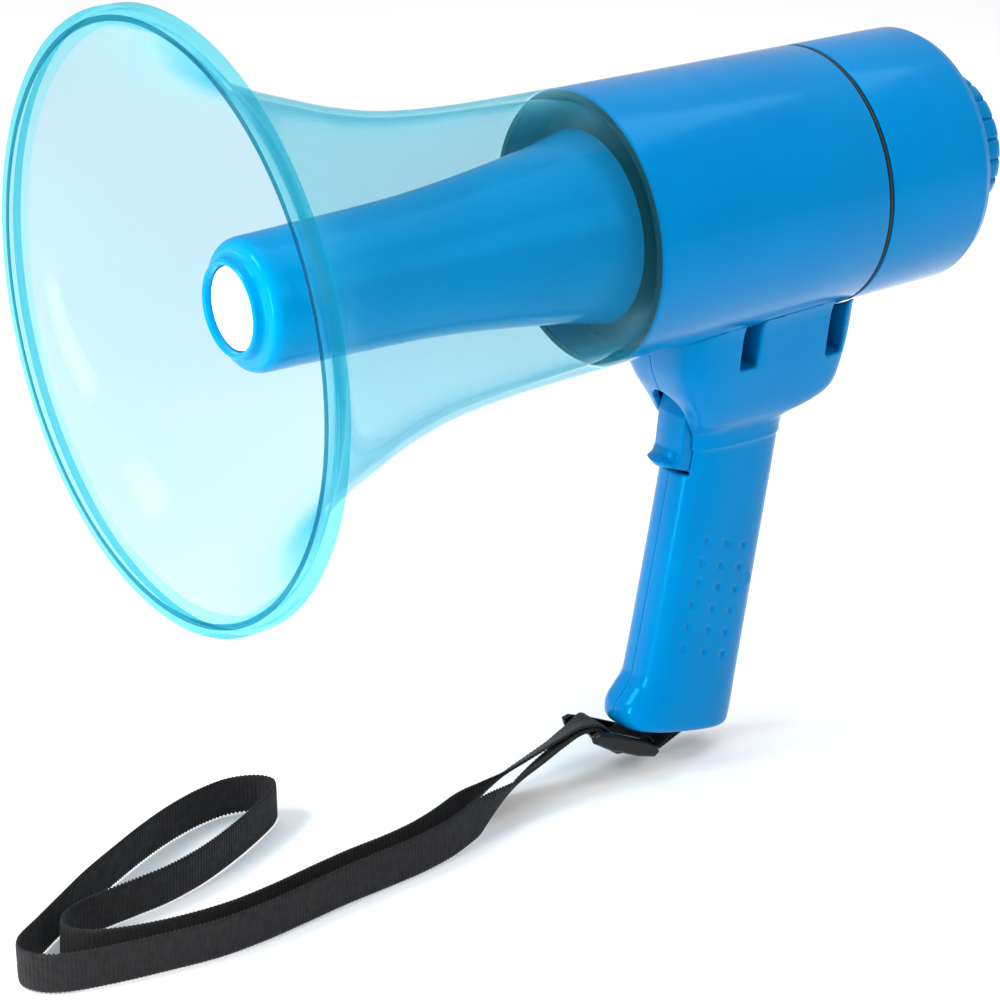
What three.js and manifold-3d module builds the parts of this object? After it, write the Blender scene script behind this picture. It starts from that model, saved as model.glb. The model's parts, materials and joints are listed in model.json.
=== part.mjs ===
// Handheld megaphone: reflex horn, cylindrical amplifier body with rear battery
// module, pistol grip with trigger, and a webbing wrist strap.
// Millimetres, +Z up. The horn axis is parallel to Y and the mouth faces -Y.
// The pieces are laid out from the centre of the mouth plane; the exported group
// moves them so that the origin is the middle of the hand grip.
import * as THREE from "three";
import { mergeVertices } from "three/addons/utils/BufferGeometryUtils.js";
import Module from "manifold-3d";

const wasm = await Module();
wasm.setup();

// ---------- driving dimensions ----------
const GRIP_ORIGIN = [0, 225, -140]; // middle of the grip, from the mouth centre
const MOUTH_R = 104; // outer radius of the rim
const RIM_WIDTH = 5.6; // flat front annulus
const RIM_DEPTH = 6.6;
const BELL_WALL = 2.2;
const NECK_Y = 167; // where the bell meets the body
const BODY_R_FRONT = 48.8,
  BODY_R_REAR = 46.9; // body shell outer radius at its two ends
const BODY_WALL = 2.6;
const BODY_Y0 = 167.4,
  BODY_Y1 = 268.2;
const COVER_Y0 = 270.4,
  COVER_Y1 = 317;
const DIAL_R = 26.6,
  DIAL_Y0 = 317.4,
  DIAL_Y1 = 338.5,
  DIAL_FLUTES = 21;
const CELL_R = 12.95,
  CELL_L = 49.6,
  CELL_RING_R = 26.4,
  CELL_Y0 = 218.4; // six C size cells
const GRIP_TILT = (11 * Math.PI) / 180; // the grip's foot leans towards the mouth
const GRIP_TOP = [230, -85]; // y, z where the grip axis starts
const GRIP_WALL = 2.6;
const TRIGGER_PIVOT = [217.5, -72.5]; // y, z
const TRIGGER_HALF = 7.9;
const GAP = 0.3; // between neighbouring pieces
const STRAP_W = 15,
  STRAP_T = 1.4;
const STRAP_FLOOR = -214; // the surface that the strap lies on
const PIN_C = [223.5, -196.2]; // strap pin, y and z
const BUCKLE_C = [184, -199],
  BUCKLE_TILT = (25 * Math.PI) / 180,
  BAR_PITCH = 11,
  BAR_R = 1.3,
  WEAVE = 3.25;

// ---------- materials ----------
const mat = (color, roughness, metalness = 0, extra = {}) =>
  new THREE.MeshStandardMaterial({ color, roughness, metalness, ...extra });
const BLUE = () => mat(0x0087cf, 0.25);
const CLEAR = () =>
  mat(0x9fe6f2, 0.08, 0, { transparent: true, opacity: 0.4 });
const BLACK = () => mat(0x16171a, 0.45);
const STEEL = () => mat(0xb9bdc2, 0.3, 0.9);
const BRASS = () => mat(0xc9a24a, 0.3, 0.9);

// ---------- solids ----------
function solid(geometry) {
  const g = geometry.index ? geometry.toNonIndexed() : geometry;
  const bare = new THREE.BufferGeometry().setAttribute(
    "position",
    g.getAttribute("position").clone(),
  );
  const merged = mergeVertices(bare, 1e-4);
  const src = merged.index.array;
  const keep = [];
  for (let i = 0; i < src.length; i += 3) {
    const [a, b, c] = [src[i], src[i + 1], src[i + 2]];
    if (a !== b && b !== c && c !== a) keep.push(a, b, c);
  }
  const build = (tri) =>
    new wasm.Manifold(
      new wasm.Mesh({
        numProp: 3,
        vertProperties: merged.attributes.position.array,
        triVerts: new Uint32Array(tri),
      }),
    );
  let s = build(keep);
  if (s.volume() < 0) {
    for (let i = 0; i < keep.length; i += 3)
      [keep[i + 1], keep[i + 2]] = [keep[i + 2], keep[i + 1]];
    s = build(keep);
  }
  return s;
}
const union = (first, ...rest) => rest.reduce((a, b) => a.add(b), first);
const cut = (first, ...rest) => rest.reduce((a, b) => a.subtract(b), first);

// Revolved about Y. The profile is a list of [radius, y].
function lathe(profile, segments = 48, closed = true) {
  const pts = profile.map(([r, y]) => new THREE.Vector2(r, y));
  if (closed) pts.push(pts[0].clone());
  return solid(new THREE.LatheGeometry(pts, segments));
}
function tubeY(r0, r1, y0, y1, segments = 32) {
  return r0 > 0
    ? lathe(
        [
          [r0, y0],
          [r1, y0],
          [r1, y1],
          [r0, y1],
        ],
        segments,
      )
    : lathe(
        [
          [0, y0],
          [r1, y0],
          [r1, y1],
          [0, y1],
        ],
        segments,
        false,
      );
}
function rod(axis, r, length, centre, segments = 16) {
  const g = new THREE.CylinderGeometry(r, r, length, segments);
  if (axis === "x") g.rotateZ(Math.PI / 2);
  if (axis === "z") g.rotateX(Math.PI / 2);
  g.translate(...centre);
  return solid(g);
}
function block(lo, hi) {
  const g = new THREE.BoxGeometry(hi[0] - lo[0], hi[1] - lo[1], hi[2] - lo[2]);
  g.translate((lo[0] + hi[0]) / 2, (lo[1] + hi[1]) / 2, (lo[2] + hi[2]) / 2);
  return solid(g);
}
// A side outline, a list of [y, z], extruded across X from x0 to x1.
function sideSlab(outline, x0, x1) {
  const shape = new THREE.Shape(
    outline.map(([y, z]) => new THREE.Vector2(y, z)),
  );
  const g = new THREE.ExtrudeGeometry(shape, {
    depth: x1 - x0,
    bevelEnabled: false,
  });
  // shape x -> Y, shape y -> Z, depth -> X
  g.applyMatrix4(
    new THREE.Matrix4().makeBasis(
      new THREE.Vector3(0, 1, 0),
      new THREE.Vector3(0, 0, 1),
      new THREE.Vector3(1, 0, 0),
    ),
  );
  g.translate(x0, 0, 0);
  return solid(g);
}
// A loft of super-ellipse sections: each {o, half: [a, b], n} has its centre o,
// half widths along ex and ey, and its squareness n.
function loft(sections, ex, ey, around = 28) {
  const g = new THREE.CylinderGeometry(
    1,
    1,
    sections.length - 1,
    around,
    sections.length - 1,
  );
  const p = g.getAttribute("position");
  const last = (sections.length - 1) / 2;
  for (let i = 0; i < p.count; i++) {
    const level = Math.round(last - p.getY(i));
    const { o, half, n: nRear = 2.8, nFront = nRear } = sections[level];
    const x = p.getX(i),
      z = p.getZ(i);
    const rr = Math.hypot(x, z);
    let u = 0,
      v = 0;
    if (rr > 1e-6) {
      const c = Math.abs(x) < 1e-6 ? 0 : x / rr,
        s = Math.abs(z) < 1e-6 ? 0 : z / rr;
      const n = s < 0 ? nFront : nRear;
      u = half[0] * Math.sign(c) * Math.abs(c) ** (2 / n);
      v = half[1] * Math.sign(s) * Math.abs(s) ** (2 / n);
      u *= rr;
      v *= rr;
    }
    p.setXYZ(
      i,
      o[0] + ex[0] * u + ey[0] * v,
      o[1] + ex[1] * u + ey[1] * v,
      o[2] + ex[2] * u + ey[2] * v,
    );
  }
  return solid(g);
}
const onSide = (R, degrees) => [
  R * Math.cos((degrees * Math.PI) / 180),
  R * Math.sin((degrees * Math.PI) / 180),
];

const root = new THREE.Group();
root.position.set(-GRIP_ORIGIN[0], -GRIP_ORIGIN[1], -GRIP_ORIGIN[2]);
function piece(name, made, material, parent = root) {
  const m = made.getMesh();
  const v = new Float32Array(m.numVert * 3);
  for (let i = 0; i < m.numVert; i++)
    v.set(m.vertProperties.subarray(i * m.numProp, i * m.numProp + 3), i * 3);
  const g = new THREE.BufferGeometry()
    .setAttribute("position", new THREE.BufferAttribute(v, 3))
    .setIndex(new THREE.BufferAttribute(new Uint32Array(m.triVerts), 1));
  g.computeVertexNormals();
  const mesh = new THREE.Mesh(g, material);
  mesh.name = name;
  parent.add(mesh);
  return mesh;
}

// ---------- horn ----------
const horn = new THREE.Group();
root.add(horn);
const BELL = [
  // y, outer radius
  [6.6, 97.6],
  [12, 90.6],
  [20, 82.8],
  [30, 76.2],
  [42, 70.4],
  [56, 65.0],
  [74, 58.7],
  [96, 53.4],
  [125, 50.4],
  [NECK_Y, 49.0],
];
const bellOuter = [
  [MOUTH_R, 0],
  [MOUTH_R, RIM_DEPTH],
  [MOUTH_R - 1.8, RIM_DEPTH],
  [MOUTH_R - 2.2, 2.6],
  [99.6, 4.2],
  ...BELL.map(([y, r]) => [r, y]),
  [45.6, NECK_Y],
  [45.6, 180],
];
const bellInner = [
  [43.6, 180],
  [43.6, 172],
  [46.4, 160],
  ...BELL.slice(0, -1)
    .reverse()
    .map(([y, r]) => [r - BELL_WALL, y - 0.4]),
  [MOUTH_R - RIM_WIDTH, 0],
];
piece("horn_bell", lathe([...bellOuter, ...bellInner], 32), CLEAR(), horn);
piece("neck_gasket", tubeY(45.9, 48.2, 167.3, 168.3, 32), BLACK(), horn);

const REFLECTOR = [
  // y, outer radius
  [33.5, 21.6],
  [38.5, 22.9],
  [55, 23.3],
  [95, 24.4],
  [125, 27.0],
  [155, 31.1],
  [170.4, 34.2],
];
piece(
  "reflector_cone",
  lathe(
    [
      [0, 30.2],
      [14.6, 30.2],
      [14.6, 26.6],
      [16.4, 26.6],
      [16.9, 28.6],
      [18.6, 29.4],
      [20.4, 31],
      ...REFLECTOR.map(([y, r]) => [r, y]),
      [32.5, 170.4],
      ...REFLECTOR.slice(1, -1)
        .reverse()
        .map(([y, r]) => [r - 1.8, y]),
      [19.4, 34.4],
      [17.6, 32.6],
      [0, 32.6],
    ],
    26,
    false,
  ),
  BLUE(),
  horn,
);
piece("nose_disc", tubeY(0, 14.25, 28.9, 29.9, 28), mat(0xf3f6fc, 0.4), horn);
// tone tube that carries the driver's sound forward into the reflector
piece(
  "sound_tube",
  lathe(
    [
      [9, 180.2],
      [20, 180.2],
      [20, 177.6],
      [11.4, 177.6],
      [10.8, 174],
      [14.2, 50],
      [12.7, 50],
      [9, 176],
    ],
    24,
  ),
  BLACK(),
  horn,
);
for (let i = 0; i < 3; i++) {
  // rib between the tone tube and the reflector
  const shape = new THREE.Shape([
    new THREE.Vector2(11.9 + 0.5, 128),
    new THREE.Vector2(25.1 - 0.2, 128),
    new THREE.Vector2(28.2 - 0.2, 150),
    new THREE.Vector2(11.9 - 0.1, 150),
  ]);
  const g = new THREE.ExtrudeGeometry(shape, {
    depth: 1.8,
    bevelEnabled: false,
  });
  g.translate(0, 0, -0.9);
  g.rotateY((90 + 120 * i) * (Math.PI / 180));
  piece("reflector_rib_" + (i + 1), solid(g), BLACK(), horn);
}

// ---------- driver and baffle ----------
const driver = new THREE.Group();
root.add(driver);
const DRIVER_SCREWS = [30, 150, 270].map((a) => onSide(35.2, a));
const baffle = cut(
  lathe(
    [
      [9.2, 184.2],
      [9.2, 180.6],
      [43.9, 180.6],
      [45.4, 181.4],
      [45.4, 184.2],
    ],
    26,
  ),
  ...DRIVER_SCREWS.map(([x, z]) => rod("y", 1.85, 3, [x, 183.4, z], 8)),
);
piece("throat_baffle", baffle, BLACK(), driver);
piece(
  "driver_gasket",
  tubeY(22, 30.5, 184.5, 186.2, 24),
  mat(0x202020, 0.9),
  driver,
);
piece(
  "driver_diaphragm",
  lathe(
    [
      [0, 184.6],
      [9, 185.2],
      [16.5, 187.6],
      [18.4, 189.4],
      [17.8, 190],
      [15.8, 188.4],
      [8.8, 186],
      [0, 185.4],
    ],
    20,
    false,
  ),
  mat(0x8a6a3a, 0.5),
  driver,
);
piece(
  "driver_frame",
  cut(
    lathe(
      [
        [20, 186.5],
        [38, 186.5],
        [38, 191.6],
        [16.6, 191.6],
        [16.6, 190.6],
        [20, 190.6],
      ],
      22,
    ),
    ...DRIVER_SCREWS.map(([x, z]) => rod("y", 1.85, 8, [x, 189, z], 8)),
  ),
  STEEL(),
  driver,
);
piece("voice_coil", tubeY(14.9, 15.9, 188.9, 198, 24), BRASS(), driver);
piece(
  "driver_magnet",
  tubeY(17.2, 32, 191.9, 206.4, 24),
  mat(0x2b2d30, 0.6, 0.3),
  driver,
);
piece(
  "driver_yoke",
  lathe(
    [
      [0, 190.6],
      [14, 190.6],
      [14, 206.7],
      [33, 206.7],
      [33, 211.2],
      [0, 211.2],
    ],
    24,
    false,
  ),
  STEEL(),
  driver,
);
DRIVER_SCREWS.forEach(([x, z], i) =>
  piece(
    "driver_screw_" + (i + 1),
    union(
      rod("y", 1.5, 9.8, [x, 187.1, z], 6),
      rod("y", 2.8, 2, [x, 192.9, z], 8),
    ),
    STEEL(),
    driver,
  ),
);

// ---------- body shell ----------
const body = new THREE.Group();
root.add(body);
const SADDLE_SCREWS = [
  [0, 205, 0],
  [0, 244, 0],
];
const bodyR = (y) =>
  BODY_R_FRONT +
  ((BODY_R_REAR - BODY_R_FRONT) * (y - BODY_Y0)) / (BODY_Y1 - BODY_Y0);
const bodyShell = cut(
  lathe(
    [
      [48.5, BODY_Y0],
      [BODY_R_FRONT, BODY_Y0 + 1],
      [BODY_R_REAR, BODY_Y1],
      [44.2, BODY_Y1],
      [44.2, 187],
      [43.2, 187],
      [43.2, 184.5],
      [45.9, 184.5],
      [45.9, 168.6],
      [48.5, 168.6],
    ],
    40,
  ),
  // wire hole and the two screw holes of the saddle
  rod("z", 4, 12, [0, 226, -46], 10),
  ...SADDLE_SCREWS.map(([x, y]) => rod("z", 1.8, 12, [x, y, -46], 8)),
);
piece("body_shell", bodyShell, BLUE(), body);

// ---------- batteries ----------
const battery = new THREE.Group();
root.add(battery);
const CELLS = [0, 60, 120, 180, 240, 300].map((a) => onSide(CELL_RING_R, a));
piece(
  "battery_holder",
  union(
    tubeY(0, 41.2, 212, 214.4, 28),
    tubeY(0, 12.4, 214, 262, 24),
    ...[30, 90, 150, 210, 270, 330].map((a) => {
      const g = new THREE.BoxGeometry(4.4, 40, 3.0);
      g.translate(38.4, 234, 0);
      g.rotateY((-a * Math.PI) / 180);
      return solid(g);
    }),
  ),
  BLACK(),
  battery,
);
CELLS.forEach(([x, z], i) => {
  const up = i % 2 === 0; // alternate cells are turned round
  const prof = [
    [0, 0],
    [CELL_R - 1, 0],
    [CELL_R, 1],
    [CELL_R, CELL_L - 2.6],
    [CELL_R - 1, CELL_L - 1.6],
    [3.2, CELL_L - 1.6],
    [3.2, CELL_L],
    [0, CELL_L],
  ];
  const g = new THREE.LatheGeometry(
    prof.map(([r, y]) => new THREE.Vector2(r, y)),
    12,
  );
  if (!up) {
    g.rotateX(Math.PI);
    g.translate(0, CELL_L, 0);
  }
  g.translate(x, CELL_Y0, z);
  piece("cell_" + (i + 1), solid(g), mat(0x3a3f45, 0.4, 0.5), battery);
});
// contact strips: each links two neighbouring cells, or ends the chain at one
function strip(from, to, y0, y1) {
  const a = new THREE.Vector2(...CELLS[from]);
  const b = to === null ? a.clone() : new THREE.Vector2(...CELLS[to]);
  const mid = a.clone().add(b).multiplyScalar(0.5);
  const len = a.distanceTo(b) + 8;
  const g = new THREE.BoxGeometry(len, y1 - y0, 7);
  g.rotateY(-Math.atan2(b.y - a.y, b.x - a.x));
  g.translate(mid.x, (y0 + y1) / 2, mid.y);
  return solid(g);
}
[
  [0, 1],
  [2, 3],
  [4, 5],
].forEach(([a, b], i) =>
  piece(
    "front_contact_" + (i + 1),
    strip(a, b, 214.8, 218),
    STEEL(),
    battery,
  ),
);

// ---------- rear battery module ----------
const rear = new THREE.Group();
root.add(rear);
const REAR_SCREWS = [30, 150, 270].map((a) => onSide(36.4, a));
piece("seal_ring", tubeY(44.0, 46.8, 268.5, 270.1, 40), mat(0x08090a, 0.6), rear);
piece(
  "rear_cover",
  union(
    lathe(
      [
        [41.4, 262.4],
        [43.6, 262.4],
        [43.6, COVER_Y0],
        [46.8, COVER_Y0],
        [46.3, 310],
        [45.8, 313.6],
        [44.4, 315.9],
        [42, COVER_Y1],
        [17.4, COVER_Y1],
        [17.4, 314.2],
        [41.6, 314.2],
        [43.6, 312],
        [43.9, 279],
        [41.4, 276],
      ],
      32,
    ),
    ...REAR_SCREWS.map(([x, z]) => tubeYAt(1.7, 4, 303, 314.6, x, z, 10)),
  ),
  BLUE(),
  rear,
);
function tubeYAt(r0, r1, y0, y1, x, z, segments = 16) {
  const g = new THREE.LatheGeometry(
    [
      [r0, y0],
      [r1, y0],
      [r1, y1],
      [r0, y1],
      [r0, y0],
    ].map(([r, y]) => new THREE.Vector2(r, y)),
    segments,
  );
  g.translate(x, 0, z);
  return solid(g);
}
piece(
  "rear_contact_plate",
  cut(
    union(
      tubeY(0, 41, 272.4, 274.4, 28),
      ...REAR_SCREWS.map(([x, z]) => rod("y", 4, 27, [x, 287.2, z], 10)),
    ),
    ...REAR_SCREWS.map(([x, z]) => rod("y", 1.8, 60, [x, 290, z], 8)),
  ),
  BLACK(),
  rear,
);
[
  [1, 2],
  [3, 4],
  [0, null],
  [5, null],
].forEach(([a, b], i) =>
  piece("rear_contact_" + (i + 1), strip(a, b, 268.4, 272.1), STEEL(), rear),
);
piece(
  "amplifier_board",
  cut(
    tubeY(15, 41.6, 301, 302.6, 28),
    ...REAR_SCREWS.map(([x, z]) => rod("y", 1.8, 8, [x, 302, z], 8)),
  ),
  mat(0x1d6b3a, 0.5),
  rear,
);
piece(
  "heat_sink",
  union(
    block([-9, 285, 22], [9, 300.7, 24]),
    block([-9, 285, 24], [-7.4, 300.7, 33]),
    block([-3, 285, 24], [-1.4, 300.7, 33]),
    block([2.6, 285, 24], [4.2, 300.7, 33]),
    block([7.4, 285, 24], [9, 300.7, 33]),
  ),
  mat(0xb8bcc0, 0.4, 0.9),
  rear,
);
REAR_SCREWS.forEach(([x, z], i) =>
  piece(
    "module_screw_" + (i + 1),
    union(
      rod("y", 1.4, 37, [x, 290.2, z], 6),
      rod("y", 2.9, 1.8, [x, 271.2, z], 8),
    ),
    STEEL(),
    rear,
  ),
);
// microphone, fixed on the board and coaxial with the dial
piece(
  "mic_holder",
  lathe(
    [
      [10.4, 303],
      [16.6, 303],
      [16.6, 305],
      [12.6, 305],
      [12.6, 333.2],
      [16.8, 333.2],
      [16.8, 334.8],
      [10.4, 334.8],
    ],
    24,
  ),
  BLACK(),
  rear,
);
piece(
  "mic_capsule",
  tubeY(0, 7.2, 318, 326, 24),
  mat(0xc5c8cc, 0.3, 0.8),
  rear,
);
piece(
  "mic_boot",
  lathe(
    [
      [7.5, 315],
      [10.1, 315],
      [10.1, 328],
      [7.5, 328],
    ],
    24,
  ),
  mat(0x111214, 0.9),
  rear,
);
const grilleHoles = [];
for (const [R, n] of [
  [0, 1],
  [7, 6],
])
  for (let k = 0; k < n; k++) {
    const [x, z] = onSide(R, (360 * k) / n + 15);
    grilleHoles.push(rod("y", 1.6, 6, [x, 336, z], 6));
  }
piece(
  "mic_grille",
  cut(
    lathe(
      [
        [0, 335.1],
        [16.8, 335.1],
        [16.8, 336.0],
        [0, 337.2],
      ],
      24,
      false,
    ),
    ...grilleHoles,
  ),
  BLACK(),
  rear,
);

// volume dial: a fluted ring on a hollow hub
const dialShape = new THREE.Shape();
for (let i = 0; i < DIAL_FLUTES * 2; i++) {
  const a = (2 * Math.PI * i) / (DIAL_FLUTES * 2);
  const r = [DIAL_R, DIAL_R - 1.6][i % 2];
  if (i === 0) dialShape.moveTo(r * Math.cos(a), r * Math.sin(a));
  else dialShape.lineTo(r * Math.cos(a), r * Math.sin(a));
}
const dialGeo = new THREE.ExtrudeGeometry(dialShape, {
  depth: DIAL_Y1 - DIAL_Y0,
  bevelEnabled: false,
});
dialGeo.rotateX(-Math.PI / 2);
dialGeo.translate(0, DIAL_Y0, 0);
piece(
  "volume_dial",
  union(
    cut(
      solid(dialGeo),
      tubeY(0, 17.2, 331.4, 345, 24),
      tubeY(0, 13.2, 310, 345, 24),
      // hollow behind the rim
      tubeY(19, 24, DIAL_Y0 - 3, 334, 24),
    ),
    tubeY(13.2, 17.0, 308, DIAL_Y0 + 1, 24),
  ),
  BLUE(),
  rear,
);

// ---------- handle ----------
const handle = new THREE.Group();
root.add(handle);
const sinA = Math.sin(GRIP_TILT),
  cosA = Math.cos(GRIP_TILT);
// point of the grip at s along its axis (down) and t across it (rearwards)
const gp = (s, t, x = 0) => [
  x,
  GRIP_TOP[0] - s * sinA + t * cosA,
  GRIP_TOP[1] - s * cosA - t * sinA,
];
const EX = [1, 0, 0],
  ET = [0, cosA, -sinA];
const GRIP = [
  // s, front t, rear t, half width, squareness
  [-22, -14, 22, 12.6, 2.8],
  [-8, -16.5, 24.4, 13.2, 2.8],
  [12, -17.6, 25.0, 13.6, 2.8],
  [30, -17.6, 25.2, 13.7, 2.8],
  [60, -17.8, 25.6, 13.6, 2.8],
  [92, -18.2, 26.0, 13.6, 2.8],
  [100, -18.9, 26.1, 13.7, 2.8],
  [104, -21.4, 26.2, 14.0, 2.8],
  [108, -23.8, 26.3, 14.2, 2.8],
  [112, -23.6, 25.9, 14.2, 2.8],
  [115, -21.6, 23.8, 13.2, 2.8],
  [116.6, -18.6, 20.6, 11.2, 2.8],
];
const gripSections = (inset, from, to) =>
  GRIP.filter(([s]) => s >= from && s <= to).map(([s, f, r, w, n]) => ({
    o: gp(s, (f + r) / 2),
    half: [w - inset, (r - f) / 2 - inset],
    n,
  }));
const SADDLE = [
  // z, front y, rear y, half width, squareness of the rear half
  [-24, 199.5, 268.0, 39.8, 5],
  [-30, 198.4, 271.6, 34.6, 8],
  [-36, 197.4, 273.4, 29.6, 10],
  [-42, 196.8, 274.0, 26.4, 10],
  [-50, 196.8, 274.0, 24.8, 10],
  [-58, 200.0, 273.6, 23.6, 9],
  [-66, 204.6, 272.8, 22.0, 8],
  [-72, 207.6, 271.6, 20.6, 7.5],
  [-76, 209.2, 269.6, 19.2, 6.5],
  [-79.5, 210.2, 265.4, 17.4, 5],
  [-82, 210.8, 260.0, 15.6, 4],
  [-84.5, 211.2, 255.0, 14.0, 3],
  [-88, 211.6, 252.5, 13.0, 2.8],
];
const SADDLE_FRONT = 5; // squareness of the front half
const saddleSections = (inset, drop) =>
  SADDLE.slice(0, SADDLE.length - drop).map(([z, f, r, w, n]) => ({
    o: [0, (f + r) / 2, z],
    half: [w - inset, (r - f) / 2 - inset],
    n,
    nFront: Math.min(n, SADDLE_FRONT),
  }));
const EY = [0, 1, 0];
const outer = union(
  loft(saddleSections(0, 0), EX, EY, 28),
  loft(gripSections(0, -22, 117), EX, ET, 28),
);
const bodyEnvelope = lathe(
  [
    [0, 150],
    [bodyR(150) + GAP, 150],
    [bodyR(300) + GAP, 300],
    [0, 300],
  ],
  40,
  false,
);
const cavity = union(
  cut(
    loft(saddleSections(GRIP_WALL, 1), EX, EY, 20),
    // a deck of material stays under the body
    lathe(
      [
        [0, 150],
        [bodyR(150) + GAP + 2.4, 150],
        [bodyR(300) + GAP + 2.4, 300],
        [0, 300],
      ],
      40,
      false,
    ),
  ),
  loft(gripSections(GRIP_WALL, -22, 100), EX, ET, 20),
);
// bosses, each a bar across X with its screw: [y, z, right end of the boss]
const BOSSES = [
  [246, -70],
  gp(58, 16).slice(1),
  gp(92, -4).slice(1),
];
const SLOTS = [
  [221.8, 229.8, -57.4],
  [261, 269, -60.4],
];
const triggerCut = sideSlab(
  [
    [190, -68.6],
    [219, -68.6],
    [226.5, -72],
    [226.5, -100],
    [190, -100],
  ],
  -TRIGGER_HALF - GAP,
  TRIGGER_HALF + GAP,
);
const strapRecess = union(
  sideSlab(
    [
      [203, -225],
      [230.2, -225],
      [230.2, -195],
      [227, -190.4],
      [217, -190.4],
      [203, -196],
    ],
    -8.1,
    8.1,
  ),
);
let handleBlank = cut(
  union(
    cut(outer, cavity),
    ...BOSSES.map(([y, z]) => rod("x", 3.8, 24, [0, y, z], 10)),
  ),
  bodyEnvelope,
  triggerCut,
  strapRecess,
  ...SLOTS.map(([y0, y1, z]) => block([-60, y0, z], [60, y1, -34])),
  // strap pin and trigger pin holes
  rod("x", 1.9 + 0.3, 22, [0, ...PIN_C], 12),
  rod("x", 1.5 + 0.3, 24, [0, ...TRIGGER_PIVOT], 12),
  // wire way into the body, screw ways up into the body
  rod("z", 3.6, 12, [0, 226, -50], 12),
  ...SADDLE_SCREWS.map(([x, y]) => rod("z", 1.7, 12, [x, y, -50], 8)),
  ...BOSSES.map(([y, z]) => rod("x", 1.6, 21, [0, y, z], 8)),
  ...BOSSES.map(([y, z]) => rod("x", 3.0, 8, [-13.9, y, z], 10)),
);
const half = (sign) =>
  sign > 0
    ? block([0.12, 100, -260], [80, 330, 20])
    : block([-80, 100, -260], [-0.12, 330, 20]);
const biggest = (s) =>
  s.decompose().reduce((a, b) => (a.volume() > b.volume() ? a : b));
piece(
  "handle_shell_left",
  biggest(handleBlank.intersect(half(-1))),
  BLUE(),
  handle,
);
piece(
  "handle_shell_right",
  biggest(handleBlank.intersect(half(1))),
  BLUE(),
  handle,
);
BOSSES.forEach(([y, z], i) =>
  piece(
    "handle_screw_" + (i + 1),
    union(
      rod("x", 1.3, 21, [-0.4, y, z], 6),
      rod("x", 2.6, 1.8, [-11.1, y, z], 8),
    ),
    STEEL(),
    handle,
  ),
);

// trigger
const triggerSolid = cut(
  union(
    sideSlab(
      [
        [214.6, -69.4],
        [211.2, -72.4],
        [208.7, -77.6],
        [207.5, -84.6],
        [206.6, -90.6],
        [203.2, -93.4],
        [202.2, -95.2],
        [203.4, -97.0],
        [208.6, -98.4],
        [213.2, -98.4],
        [213.2, -76],
        [218.9, -76],
        [221, -73],
        [220, -70.2],
        [218, -69.4],
      ],
      -TRIGGER_HALF,
      TRIGGER_HALF,
    ),
  ),
  rod("x", 1.5 + 0.09, 20, [0, ...TRIGGER_PIVOT], 16),
);
piece("trigger", triggerSolid, BLUE(), handle);
piece(
  "trigger_pin",
  rod("x", 1.5, 21.6, [0, ...TRIGGER_PIVOT], 16),
  STEEL(),
  handle,
);
// return spring: a coil lying fore and aft behind the trigger
const coil = [];
for (let i = 0; i <= 32; i++) {
  const a = (2 * Math.PI * i) / 8;
  coil.push(
    new THREE.Vector3(
      2.3 * Math.cos(a),
      214.0 + (9.4 * i) / 32,
      -92 + 2.3 * Math.sin(a),
    ),
  );
}
const wire = new THREE.Shape();
for (let i = 0; i < 5; i++) {
  const a = (2 * Math.PI * i) / 5;
  if (i === 0) wire.moveTo(0.35, 0);
  else wire.lineTo(0.35 * Math.cos(a), 0.35 * Math.sin(a));
}
piece(
  "trigger_spring",
  solid(
    new THREE.ExtrudeGeometry(wire, {
      steps: 32,
      bevelEnabled: false,
      extrudePath: new THREE.CatmullRomCurve3(coil),
    }),
  ),
  STEEL(),
  handle,
);
piece(
  "trigger_switch",
  union(
    block([-3.2, 218.6, -88.4], [3.2, 232, -78.6]),
    block([-1.2, 216.4, -84.6], [1.2, 218.8, -82.2]),
  ),
  BLACK(),
  handle,
);
piece(
  "strap_pin",
  rod("x", 1.9, 21, [0, ...PIN_C], 12),
  STEEL(),
  handle,
);
SADDLE_SCREWS.forEach(([x, y], i) =>
  piece(
    "saddle_screw_" + (i + 1),
    union(
      rod("z", 1.4, 8.4, [x, y, -47.2], 6),
      rod("z", 2.8, 1.8, [x, y, -52.2], 8),
    ),
    STEEL(),
    handle,
  ),
);

// ---------- buckle and strap ----------
const strapGroup = new THREE.Group();
root.add(strapGroup);
const cb = Math.cos(BUCKLE_TILT),
  sb = Math.sin(BUCKLE_TILT);
// t runs along the buckle towards the handle's rear and down, n is its upper side
const bk = (t, n) => [
  BUCKLE_C[0] + t * cb + n * sb,
  BUCKLE_C[1] - t * sb + n * cb,
];
const railOutline = [
  [-17, 0.6],
  [-14.5, 2.6],
  [-6, 3.2],
  [8, 3.2],
  [15, 2.4],
  [17, 0.2],
  [15.5, -2.4],
  [8, -3.4],
  [-6, -3.4],
  [-14.5, -2.2],
].map(([t, n]) => bk(t, n));
const bar = (t) =>
  rod("x", BAR_R, 19, [0, ...bk(t, 0)], 10);
piece(
  "strap_buckle",
  union(
    sideSlab(railOutline, 8.0, 10.9),
    sideSlab(railOutline, -10.9, -8.0),
    bar(-BAR_PITCH),
    bar(0),
    bar(BAR_PITCH),
  ),
  mat(0x101114, 0.18),
  strapGroup,
);

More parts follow.
